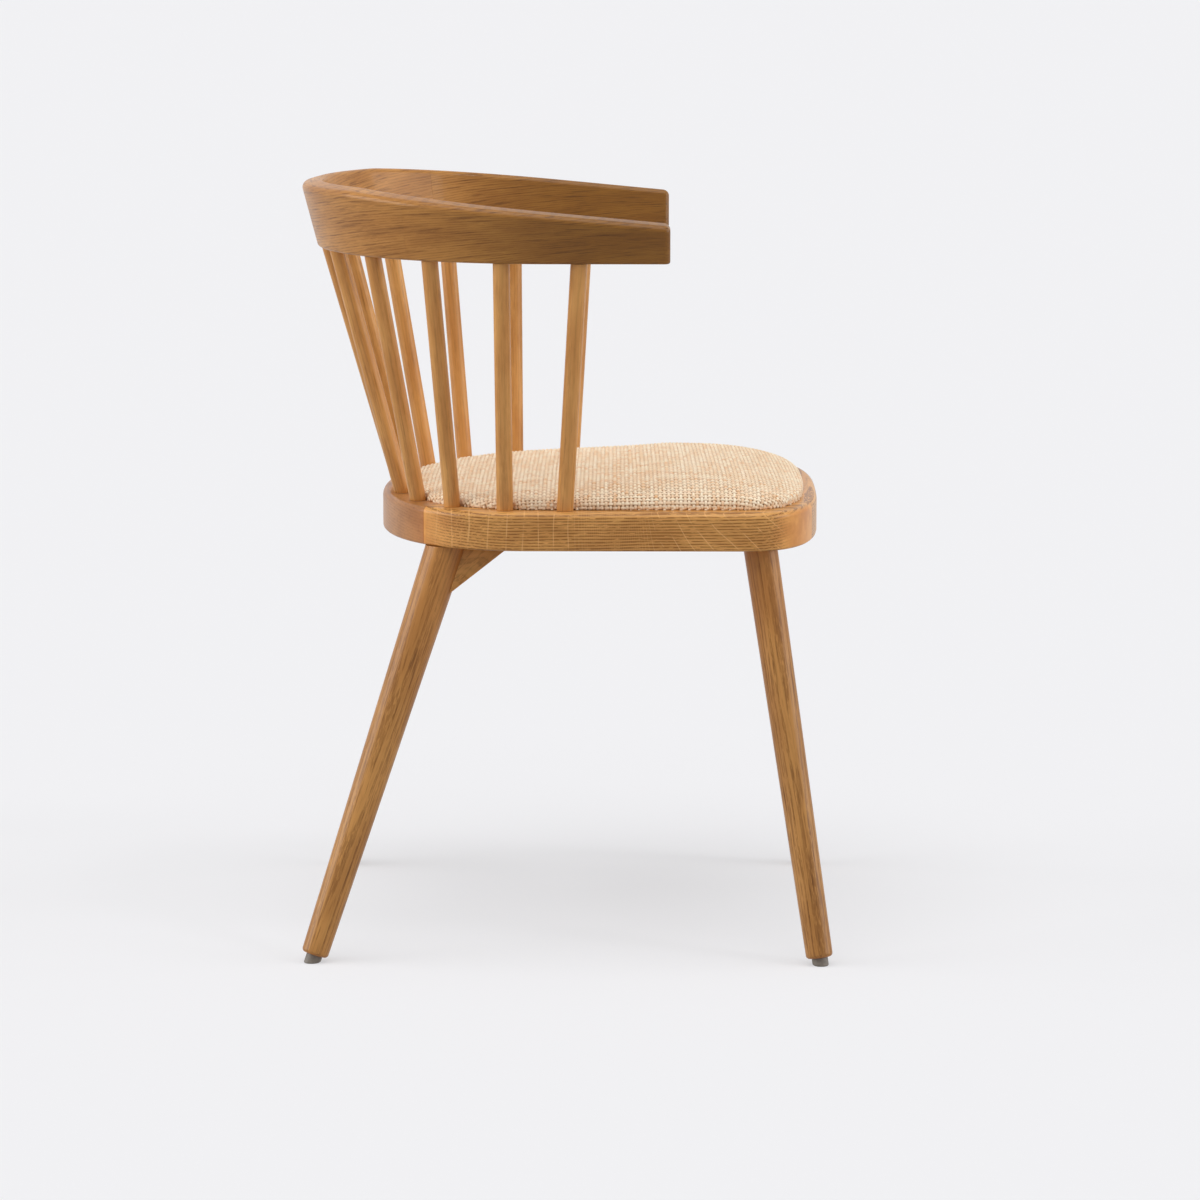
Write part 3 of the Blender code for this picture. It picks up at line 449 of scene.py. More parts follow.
def bent_board(start, end, free_end, offset):
    """One length of the bow: a straight board with rounded edges, cut across at every
    step and then bent round the bow's line. free_end is -1, 0 or 1. The board's grain is
    taken before it is bent; offset says which stretch of wood it is."""
    s = sizes()
    line = bow_half_line()
    run = end - start
    steps = max(2, round(run / BOW_STEP))
    shape = bmesh.new()
    bmesh.ops.create_cube(shape, size=1)
    blank = Matrix.Diagonal((run, s.bow_thickness, s.bow_back_height, 1))
    placed(shape, Matrix.Translation(((start + end) / 2, 0, s.bow_back_height / 2)) @ blank)
    free = {-1: start, 0: None, 1: end}[free_end]
    for size, segments, lower in ((s.bow_top_round, 8, False), (s.bow_bottom_round, 4, True)):
        edges = []
        for edge in shape.edges:
            under = all(abs(vert.co.z) < SAME_PLANE for vert in edge.verts)
            joint = any(all(abs(vert.co.x - x) < SAME_PLANE for vert in edge.verts)
                        for x in (start, end) if x != free)
            if under == lower and not joint and edge.calc_face_angle() > CORNER_ANGLE:
                edges.append(edge)
        rounded(shape, edges, size, segments)
    for step in range(1, steps):
        sawn(shape, (start + run * step / steps, 0, 0), (1, 0, 0), keep=True)
    grain = shape.verts.layers.float_vector.new("grain")
    end_grain = shape.verts.layers.float.new("end_grain")
    for vert in shape.verts:
        along, beside, height = vert.co
        rise = s.bow_fibre_slope * (math.hypot(along, FIBRE_LEVELS) - FIBRE_LEVELS)
        vert[grain] = Vector((along, height - rise, beside)) + Vector(offset)
        vert[end_grain] = float(free is not None and abs(along - free) < SAME_PLANE)
        point, normal = station(line, along)
        lean = s.bow_lean_back * normal.x ** 2 + s.bow_lean_side * normal.y ** 2
        if height > s.bow_back_height / 2:
            height += bow_height(point.x) - s.bow_back_height - lean * beside
        side = point + normal * (beside + lean * height)
        vert.co = (side.x, side.y, BOW_UNDERSIDE + height)
    bmesh.ops.recalc_face_normals(shape, faces=shape.faces)
    return shape


def seat_block(saws, bottom, thickness, roundings):
    """A slab of the seat's outline, sawn by upright planes, its outer edges rounded.
    Each saw is a point and a direction; what lies beyond it is cut away."""
    outline = both_halves(seat_half_outline(0, 0))
    shape = bmesh.new()
    shape.faces.new([shape.verts.new((p.x, p.y, bottom)) for p in outline])
    for place, direction in saws:
        sawn(shape, place, direction)
    thickened(shape, (0, 0, thickness))
    for height, (size, segments) in zip((bottom + thickness, bottom), roundings):
        rim = [edge for edge in shape.edges if on_rim(edge, height, saws)]
        rounded(shape, rim, size, segments)
    return shape


def on_rim(edge, height, saws):
    """Whether an edge runs along the outline at this height, and not along a saw cut."""
    if any(abs(vert.co.z - height) > SAME_PLACE for vert in edge.verts):
        return False
    return all(max(abs((vert.co - Vector(place)).dot(Vector(direction)))
                   for vert in edge.verts) >= SAME_PLACE for place, direction in saws)


def outline_y(x):
    """Half width of the seat's outline behind its widest part, at a distance x."""
    line = seat_half_outline(0, 0, MEASURE_STEPS)
    for start, end in zip(line, line[1:]):
        if start.x <= x <= end.x:
            return start.y + (end.y - start.y) * (x - start.x) / (end.x - start.x)
    return SEAT_HALF_WIDTH


# Materials


def maths(operation, swap=False):
    """A method that adds a Math node to two values, taken in the other order if swap."""
    def method(self, *other):
        """Add the node."""
        values = (*other, self) if swap else (self, *other)
        return self.nodes.add("ShaderNodeMath", {"operation": operation}, *values)
    return method


class Value:
    """A number that varies over a surface. Sums and products of it add Math nodes."""

    def __init__(self, nodes, socket):
        self.nodes = nodes
        self.socket = socket

    __add__, __radd__ = maths("ADD"), maths("ADD", swap=True)
    __sub__, __rsub__ = maths("SUBTRACT"), maths("SUBTRACT", swap=True)
    __mul__, __rmul__ = maths("MULTIPLY"), maths("MULTIPLY", swap=True)
    larger = maths("MAXIMUM")
    size = maths("ABSOLUTE")
    fraction = maths("FRACT")

    def between(self, low, high):
        """0 at low, 1 at high and smooth between them."""
        settings = {"interpolation_type": "SMOOTHSTEP"}
        return self.nodes.add("ShaderNodeMapRange", settings, self, low, high, 0.0, 1.0)

    def hump(self, low, high, soft):
        """1 between low and high, 0 outside them, with soft flanks."""
        return self.between(low - soft, low) * (1 - self.between(high, high + soft))


class Nodes:
    """A node tree whose nodes are added by add()."""

    def __init__(self, tree):
        self.tree = tree

    def add(self, kind, settings, *values, output=0, **named):
        """Add a node: its settings first, then the values or links of its sockets."""
        made = self.tree.nodes.new(kind)
        for name, value in settings.items():
            setattr(made, name, value)
        sockets = [socket for socket in made.inputs if socket.enabled]
        pairs = list(zip(sockets, values))
        pairs += [(made.inputs[name], value) for name, value in named.items()]
        for socket, value in pairs:
            self.feed(socket, value)
        return Value(self, made.outputs[output])

    def feed(self, socket, value):
        """Link a socket to a value, or set it to a plain one."""
        if isinstance(value, Value):
            self.tree.links.new(value.socket, socket)
        elif socket.type == "RGBA" and len(value) == 3:
            socket.default_value = (*value, 1.0)
        else:
            socket.default_value = value

    def parts(self, vector):
        """The three numbers of a vector."""
        made = self.add("ShaderNodeSeparateXYZ", {}, vector).socket.node
        return [Value(self, socket) for socket in made.outputs]

    def seen(self):
        """1 for what the camera sees, straight or in a reflection, and 0 for other light."""
        made = self.add("ShaderNodeLightPath", {}).socket.node
        rays = [Value(self, made.outputs[name]) for name in
                ("Is Camera Ray", "Is Glossy Ray", "Is Transmission Ray")]
        return rays[0].larger(rays[1]).larger(rays[2])

    def mix(self, factor, first, second, blend="MIX"):
        """A colour between two others."""
        return self.add("ShaderNodeMix", {"data_type": "RGBA", "blend_type": blend},
                        factor, first, second, output=2)


class Finish(Nodes):
    """A material with one shader."""

    def __init__(self, name, roughness, **constants):
        self.material = bpy.data.materials.new(name)
        self.material.use_nodes = True
        super().__init__(self.material.node_tree)
        self.shader = self.tree.nodes["Principled BSDF"]
        self.feed(self.shader.inputs["Roughness"], roughness)
        for socket, value in constants.items():
            self.feed(self.shader.inputs[socket.replace("_", " ")], value)

    def attribute(self, name, output):
        """The piece's own attribute."""
        return self.add("ShaderNodeAttribute", {"attribute_name": name}, output=output)

    def noise(self, vector, factors, detail=2.0):
        """Noise from 0 to 1, whose grains are as long as the factors are small."""
        scaled = self.add("ShaderNodeVectorMath", {"operation": "MULTIPLY"}, vector, factors)
        return self.add("ShaderNodeTexNoise", {"noise_dimensions": "3D"}, Vector=scaled,
                        Scale=1.0, Detail=detail, Roughness=0.6)

    def bump(self, height, strength, distance):
        """A bump that feeds the shader's normal."""
        self.feed(self.shader.inputs["Normal"],
                  self.add("ShaderNodeBump", {}, Height=height, Strength=strength,
                           Distance=distance))

    def paint(self, base):
        """Feed the shader its colour."""
        self.feed(self.shader.inputs["Base Color"], base)
        return self.material


def shade(base, *factors):
    """A colour, lighter or darker by one factor or by one for each part of it."""
    factors = factors * 3 if len(factors) == 1 else factors
    return tuple(min(part * factor, 1.0) for part, factor in zip(base, factors))


# How often the wood's patterns change in a metre: along the fibre, across and along the rings
DRIFT = (11.0, 42.0, 42.0)
WANDER = (6.0, 40.0, 40.0)
PORES = (105.0, 900.0, 900.0)
STREAKS = (24.0, 480.0, 480.0)
RAY_SWAY = (11.0, 5.0, 5.0)
RAY_PATCHES = (60.0, 60.0, 60.0)
MOTTLE = (300.0, 300.0, 300.0)

# Sizes in the wood, in metres
RING_PITCH = 0.0029
RING_SWAY = 0.0035
RAY_SPACING = 0.0165
RAY_WANDER = 0.04
ARM_TONE_FROM, ARM_TONE_TO = 0.15, 0.42
GRAIN_DEPTH = 0.0003

# Where the rays turn aslant along the fibre, and by how much
RAY_SLANT_FROM, RAY_SLANT_TO = 0.91, 1.00
RAY_SLANT = 0.7

# What the wood's marks do to its colour
DRIFT_TINT = (0.78, 0.72, 0.64)
END_TINT = (0.74, 0.42, 0.28)
STREAK_TINT = (0.42, 0.35, 0.26)
PORE_TINT = (0.42, 0.34, 0.24)


def oak(name, base, rings, streaks, rays=0.0, tip=None):
    """Oiled oak, drawn in the wood's own coordinates: growth rings with rows of pores in
    them, darker streaks along the fibre, and pale rays across it on quartered faces. A
    bow's wood turns to the colour tip along its arms."""
    finish = Finish(name, 0.42, Specular_IOR_Level=0.20, Coat_Weight=0.22, Coat_Roughness=0.11)
    place = finish.attribute("grain", 1)
    end = finish.attribute("end_grain", 2)
    along, across, _ = finish.parts(place)
    drift = finish.noise(place, DRIFT, 3.0)
    wander = finish.noise(place, WANDER)
    ring = ((across + (wander - 0.5) * RING_SWAY) * (1 / RING_PITCH)).fraction()
    early = ring.hump(0.10, 0.40, 0.08)
    fine = (ring * 3.0).fraction().hump(0.2, 0.5, 0.2)
    dashes = finish.noise(place, PORES)
    streak = finish.noise(place, STREAKS, 4.0)
    side = 1 - end.between(0.45, 0.85)
    if tip:
        base = finish.mix(along.size().between(ARM_TONE_FROM, ARM_TONE_TO), base, tip)
    tone = finish.mix(drift.between(0.32, 0.66), base, DRIFT_TINT, "MULTIPLY")
    tone = finish.mix(end.between(0.35, 0.95) * 0.6, tone, END_TINT, "SOFT_LIGHT")
    dark = streak.between(0.50, 0.70) * streaks * side
    tone = finish.mix(dark, tone, STREAK_TINT, "MULTIPLY")
    pores = dashes.between(0.36, 0.52) * (early * 0.9 + fine * 0.3) * rings * side
    tone = finish.mix(pores, tone, PORE_TINT, "MULTIPLY")
    if rays:
        slant = across * along.between(RAY_SLANT_FROM, RAY_SLANT_TO) * RAY_SLANT
        sway = finish.noise(place, RAY_SWAY) * RAY_WANDER
        line = ((along + slant + sway) * (1 / RAY_SPACING)).fraction().hump(0.48, 0.52, 0.03)
        shown = finish.noise(place, RAY_PATCHES).between(0.34, 0.54)
        tone = finish.mix(line * shown * side * rays, tone, shade(base, 1.15, 1.28, 1.6))
    finish.bump(dashes * 0.5 + streak, 0.12, GRAIN_DEPTH)
    return finish.paint(tone)


def plain(name, base, roughness, **constants):
    """A plain finish with a faint mottle."""
    finish = Finish(name, roughness, **constants)
    place = finish.add("ShaderNodeTexCoord", {}, output=3)
    mottle = finish.noise(place, MOTTLE, 3.0).between(0.3, 0.7)
    return finish.paint(finish.mix(mottle, shade(base, 0.85), shade(base, 1.1)))


# How often the straw's patterns change: in a metre along a strand, and from strand to strand
STRAND_TONE = (14.0, 13.7, 0.0)
STRAND_BLOTCHES = (60.0, 0.31, 0.0)
STRAND_DASHES = (95.0, 17.3, 0.0)


def straw(name):
    """Straw strands of uneven tone, with painted shade along their sides and where they pass
    under another. strand holds the distance along a strand, its number with its width, and how
    high it lies."""
    finish = Finish(name, 0.5, Specular_IOR_Level=0.2)
    place = finish.attribute("strand", 1)
    along, number, rise = finish.parts(place)
    beside = (number + 0.5).fraction() - 0.5
    strand = finish.add("ShaderNodeCombineXYZ", {}, along, number - beside)
    own = finish.noise(strand, STRAND_TONE)
    broad = finish.noise(strand, STRAND_BLOTCHES, 3.0)
    dash = finish.noise(strand, STRAND_DASHES)
    # Painted shade: darker along the strands' sides and where they dip under the crossing strand
    painted_side_shade = beside.size().between(0.10, 0.17) * (1 - rise.between(0.0, 0.9) * 0.55)
    under = 1 - rise.between(-1.0, 0.0)
    c = tones()
    tone = finish.mix(own.between(0.34, 0.62), shade(c.straw, 0.91, 0.81, 0.71),
                      shade(c.straw, 1.05, 1.08, 1.13))
    # Random brown specks, a lighter copy of the painted shade colour
    speck = shade(c.straw_painted_shade, 2.1, 2.4, 2.6)
    tone = finish.mix(dash.between(0.56, 0.66) * 0.55, tone, speck)
    # How much painted shade each place takes, a little uneven from blotch to blotch
    deep = painted_side_shade.larger(under) * (0.62 + broad.between(0.40, 0.62) * 0.36)
    return finish.paint(finish.mix(deep, tone, c.straw_painted_shade))


# Operators


# Each sun: its name, the way to it, its strength and how broad it is in degrees
LAMPS = (("overhead", (-0.10, -0.30, 1.0), 1.58, 60),
         ("left_side", (-1.0, -0.12, 0.24), 1.65, 45),
         ("right_side", (1.0, -0.12, 0.24), 1.22, 45),
         ("spark", (0.75, -0.35, 1.0), 0.26, 10))

# The share of the floor's colour that takes shadows; the rest shines by itself
SHADOW_DEPTH = 0.42
FLOOR_REACH = 60

# What the background throws on the chair
SKY = (0.25, 0.25, 0.25)

# The photograph's camera
CAMERA_PLACE = (0.0887, -4.8603, 1.1081)
CAMERA_PITCH = -0.1594
CAMERA_ROLL = 0.0110


class CHAIR_OT_stage(bpy.types.Operator):
    """Floor, world, lamps and camera"""
    bl_idname = "chair.stage"
    bl_label = "Stage"

    def execute(self, context):
        scene = context.scene
        scene.view_settings.view_transform = "Standard"
        c = tones()
        shape = bmesh.new()
        bmesh.ops.create_grid(shape, x_segments=1, y_segments=1, size=FLOOR_REACH)
        floor = in_scene("floor", mesh_of("floor", shape))
        finish = Finish("floor_paint", 1.0, Specular_IOR_Level=0.0, Emission_Strength=1.0)
        seen = finish.seen()
        finish.feed(finish.shader.inputs["Emission Color"],
                    finish.mix(seen, (0.0, 0.0, 0.0), shade(c.floor, 1 - SHADOW_DEPTH)))
        base = finish.mix(seen, c.bounce, shade(c.floor, SHADOW_DEPTH))
        floor.data.materials.append(finish.paint(base))

        world = bpy.data.worlds.new("studio")
        scene.world = world
        world.use_nodes = True
        nodes = Nodes(world.node_tree)
        light = nodes.tree.nodes["Background"]
        nodes.feed(light.inputs["Color"], nodes.mix(nodes.seen(), SKY, c.floor))
        nodes.feed(light.inputs["Strength"], 1.0)

        for name, direction, strength, angle in LAMPS:
            lamp = bpy.data.lights.new(name, "SUN")
            lamp.energy = strength
            lamp.angle = math.radians(angle)
            turn = Vector(direction).to_track_quat("Z", "Y")
            in_scene(name, lamp).rotation_euler = turn.to_euler()

        lens = bpy.data.cameras.new("camera")
        lens.sensor_width = 36
        lens.lens = 144
        lens.clip_start = 0.1
        lens.clip_end = 200
        camera = in_scene("camera", lens)
        camera.location = CAMERA_PLACE
        camera.rotation_euler = (math.pi / 2 + CAMERA_PITCH, 0, CAMERA_ROLL)
        scene.camera = camera
        return {"FINISHED"}


class CHAIR_OT_bow(bpy.types.Operator):
    """Bow: the back segment and the two arms"""
    bl_idname = "chair.bow"
    bl_label = "Bow"

    def execute(self, context):
        s = sizes()
        finish = oak("oiled_oak_bow", tones().back, rings=0.35, streaks=0.8, tip=tones().arm)
        end = line_length(bow_half_line())
        start = s.bow_joint_run
        for name, node, board in (
                ("back_board", "bow_back", bent_board(-start, start, 0, (0, 0, 0))),
                ("arm_board_left", "bow_arm_left",
                 bent_board(start + BOW_JOINT_GAP, end, 1, (0.02, 0.031, 0.017))),
                ("arm_board_right", "bow_arm_right",
                 bent_board(-end, -start - BOW_JOINT_GAP, -1, (0, 0, 0)))):
            add_piece(name, board, finish, [node])
        return {"FINISHED"}


class CHAIR_OT_spindles(bpy.types.Operator):
    """Spindles between the seat and the bow"""
    bl_idname = "chair.spindles"
    bl_label = "Spindles"

    def execute(self, context):
        s = sizes()
        finish = oak("oiled_oak_spindle", tones().spindle, rings=0.4, streaks=1.0)
        for number, name in enumerate(SPINDLES):
            low, high = (corner.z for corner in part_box(name))
            foot = middle_of(ring_at(name, SEAT_TOP + GAP))
            head = middle_of(ring_at(name, BOW_UNDERSIDE - GAP))
            run = ((head - foot) / (head.z - foot.z)).to_2d()
            body, tenon = s.spindle_diameter / 2, s.tenon_diameter / 2
            profile = [(low, tenon), (foot.z, tenon), (foot.z, body), (head.z, body),
                       (head.z, tenon), (high, tenon)]
            shape = turned([(z - foot.z, r) for z, r in profile], 40)
            placed(shape, Matrix.Translation(foot) @ lean_matrix(run))
            add_piece(f"turned_{name}", shape, finish, [name],
                      grain_matrix((run.x, run.y, 1), any_side(number),
                                   (number * 0.7, number * 1.3, number * 0.9)))
        return {"FINISHED"}


class CHAIR_OT_seat_frame(bpy.types.Operator):
    """Seat frame: rear, side and front rails"""
    bl_idname = "chair.seat_frame"
    bl_label = "Seat frame"

    def execute(self, context):
        s = sizes()
        slab = (SEAT_BOTTOM, SEAT_TOP - SEAT_BOTTOM, ((s.top_round, 6), (s.bottom_round, 3)))
        joint_x = SEAT_REAR_X + s.rear_joint_inset
        rear_saws = [((REAR_RAIL_INNER_X, 0, 0), (1, 0, 0))]
        finish = oak("oiled_oak_rail", tones().rail, rings=0.95, rays=0.48, streaks=0.35)
        for number, (name, side) in enumerate(SIDES):
            outer = Vector((joint_x, side * outline_y(joint_x), 0))
            inner = Vector((REAR_RAIL_INNER_X, side * SIDE_RAIL_INNER_Y, 0))
            outward = (outer - inner).normalized()
            rearward = Vector((-abs(outward.y), -side * abs(outward.x), 0))
            rear_saws.append((inner, -rearward))
            saws = [(inner - rearward * GAP, rearward),
                    ((0, side * SIDE_RAIL_INNER_Y, 0), (0, -side, 0))]
            shape = cut(seat_block(saws, *slab), screw_rooms(name))
            add_piece(f"side_rail_{name}", shape, finish, [f"seat_rail_{name}"],
                      grain_matrix((1, 0, 0.01), (0, 0.15 * side, 1),
                                   (0.9, 0.3, 0.3 + 0.7 * number)))
        add_piece("rear_rail", seat_block(rear_saws, *slab),
                  oak("oiled_oak_rear_rail", tones().rear_rail, rings=0.25, streaks=0.3),
                  ["seat_rail_rear"],
                  grain_matrix((0, 1, 0), (0.2, 0, 1), (5, 2, 3)))
        reach = SIDE_RAIL_INNER_Y - GAP
        saws = [((FRONT_RAIL_INNER_X, 0, 0), (-1, 0, 0)),
                ((0, reach, 0), (0, 1, 0)), ((0, -reach, 0), (0, -1, 0))]
        shape = cut(seat_block(saws, *slab), screw_rooms("front"))
        add_piece("front_rail", shape, finish, ["seat_rail_front"],
                  grain_matrix((0, 1, 0.01), (0.1, 0, 1), (6, 3, 4)))
        return {"FINISHED"}


def screw_rooms(rail):
    """Room for the heads of the screws that go up into the seat panel through a rail."""
    names = {"left": ("left_rear", "left_middle"), "right": ("right_rear", "right_middle"),
             "front": ("left_front", "right_front")}[rail]
    rooms = []
    for name in names:
        low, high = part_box(f"panel_screw_{name}")
        middle = (low + high) / 2
        head = (high.x - low.x) / 2 + GAP
        room = turned([(-head, head), (low.z - SEAT_BOTTOM, head), (SCREW_ROOM, head / 2)], 24)
        rooms.append(placed(room, Matrix.Translation((middle.x, middle.y, SEAT_BOTTOM))))
    return rooms


def leg_axes():
    """Name, foot on the floor, top under the seat, top diameter and tenon's end of each
    leg."""
    shoulder = SEAT_BOTTOM - GAP
    places = []
    for kind in ("rear", "front"):
        for name, _ in SIDES:
            node = f"leg_{kind}_{name}"
            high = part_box(node)[1].z
            ring = ring_at(node, shoulder)
            middle, end = middle_of(ring), middle_of(ring_at(node, high))
            run = (end - middle) / (end.z - middle.z)
            top = middle + run * (SEAT_BOTTOM - middle.z)
            foot = middle - run * middle.z
            radius = max((p - middle).cross(run.normalized()).length for p in ring)
            places.append((f"{kind}_{name}", foot, top, radius * 2, high))
    return places


def leg_radius(top_diameter, height):
    """A leg's radius at a height."""
    foot = sizes().leg_foot_diameter
    return (foot + (top_diameter - foot) * (height / SEAT_BOTTOM)) / 2


# Keeps the chances of the legs apart from those of the spindles
LEG_SEED = 40


class CHAIR_OT_legs(bpy.types.Operator):
    """Legs and their glides"""
    bl_idname = "chair.legs"
    bl_label = "Legs and glides"

    def execute(self, context):
        s = sizes()
        finish = oak("oiled_oak_leg", tones().leg, rings=0.5, streaks=0.8)
        rubber = plain("glide_plastic", tones().glide, 0.5)
        for number, (name, foot, top, diameter, high) in enumerate(leg_axes()):
            run = ((top - foot) / top.z).to_2d()
            axis = Vector((*run, 1))
            below, shoulder = -s.leg_foot_diameter, SEAT_BOTTOM - GAP
            profile = [(height, leg_radius(diameter, height)) for height in (below, shoulder)]
            profile += [(height, s.leg_tenon_diameter / 2) for height in (shoulder, high)]
            shape = placed(turned(profile, 48), Matrix.Translation(foot) @ lean_matrix(run))
            place = foot + axis * s.leg_end_height
            axis.normalize()
            trim(shape, place, -axis, s.leg_end_round, 5)
            add_piece(f"turned_leg_{name}", shape, finish, [f"leg_{name}"],
                      grain_matrix(axis, any_side(number + LEG_SEED),
                                   (number * 0.8, number * 1.1, number * 0.7)))
            pad = turned([(-2 * s.leg_end_height, s.glide_diameter / 2),
                          (-GAP, s.glide_diameter / 2)], 40)
            aim = axis.to_track_quat("Z", "Y").to_matrix().to_4x4()
            placed(pad, Matrix.Translation(place) @ aim)
            trim(pad, (0, 0, 0), (0, 0, -1), s.glide_round)
            add_piece(f"foot_glide_{name}", pad, rubber, [f"glide_{name}"])
        return {"FINISHED"}


class CHAIR_OT_braces(bpy.types.Operator):
    """Braces between the rear legs and the side rails"""
    bl_idname = "chair.braces"
    bl_label = "Braces"

    def execute(self, context):
        s = sizes()
        # The braces' oak is the legs' oak made lighter: painted light on the braces in the
        # seat's shade
        finish = oak("oiled_oak_brace", shade(tones().leg, 1.22), rings=0.4, streaks=0.5)
        for name, foot, top, diameter, _ in leg_axes():
            kind, side = name.split("_")
            if kind != "rear":
                continue
            run = (top - foot) / top.z
            shape = bmesh.new()
            corners = ((0, -GAP), (s.brace_reach, -GAP),
                       (-run.x * s.brace_drop, -s.brace_drop))
            shape.faces.new([shape.verts.new((x, -s.brace_thickness / 2, z))
                             for x, z in corners])
            thickened(shape, (0, s.brace_thickness, 0))
            rounded(shape, shape.edges[:], BRACE_ROUND, 2)
            shear = Matrix.Identity(4)
            shear[1][2] = run.y
            placed(shape, Matrix.Translation(top) @ shear)
            bed = turned([(height, leg_radius(diameter, height) + GAP)
                          for height in (0, SEAT_TOP)], 48)
            placed(bed, Matrix.Translation(foot) @ lean_matrix(run.to_2d()))
            add_piece(f"corner_brace_{side}", cut(shape, [bed]), finish,
                      [f"leg_brace_{side}"], grain_matrix((1, 0, 0.9), (0, 1, 0), (9, 2, 3)))
        return {"FINISHED"}


# Fineness of the woven seat
OUTLINE_STEPS = 90
RIM_SPACING = 0.001
ROLL_STEPS = 17
HALVINGS = 30
FARTHEST_EDGE = 0.06
SLOPE_STEP = 0.0005
DENT_START = 0.005
PAD_RINGS = 14
RIMS_PER_COLUMN = 6
RIMS_PER_BORDER_STEP = 2

# The crown's ridge along X, how far its falls reach, and how soon the rear one starts
RIDGE = 0.10
RIDGE_TO_REAR = 0.263
RIDGE_TO_FRONT = 0.283
FALL_POWER = 0.8

# Where the front columns' lean starts behind the crown's centre, and its run
FAN_START = 0.05
FAN_RUN = 0.25

# Half the reach of the strands before they are cut at the edge, and the fewest half
# pitches that a strand is worth laying
HALF_REACH = (0.30, 0.26)
SHORTEST = 6

# How much the strands stray: sideways, how often in a metre, and in width
STRAY = 0.00018
STRAY_WAVE = 0.00016
STRAY_PACE = (25, 60)
WIDTHS = (0.90, 1.08)

# How far a strand's middle lies above the wave's, the border's share of the wave, and how
# squarely a strand has to meet the edge to run down over it
LIFT = 0.05
BORDER_WAVE = 0.7
MEETS_EDGE = 0.6

# A strand's width where its number tells of it, as a share of the step to the next number
NUMBER_WIDTH = 0.4

# A strand's section: offset and height, as shares of its width and thickness
STRAND_PROFILE = ((-0.5, 0.0), (-0.30, 0.78), (0.30, 0.78), (0.5, 0.0), (0.0, -0.35),
                  (-0.5, 0.0))


def resampled(outline):
    """Evenly spaced points of a closed outline and its outward directions."""
    points = np.array([(p.x, p.y) for p in outline])
    loop = np.vstack((points, points[:1]))
    run = np.concatenate(([0], np.cumsum(np.hypot(*np.diff(loop, axis=0).T))))
    count = int(run[-1] / RIM_SPACING)
    at = np.arange(count) / count * run[-1]
    even = np.stack([np.interp(at, run, loop[:, axis]) for axis in (0, 1)], 1)
    along = np.roll(even, -3, 0) - np.roll(even, 3, 0)
    along /= np.hypot(along[:, 0], along[:, 1])[:, None]
    out = np.stack((along[:, 1], -along[:, 0]), 1)
    flip = np.sign(((even - even.mean(0)) * out).sum(1))
    return even, out * flip[:, None]


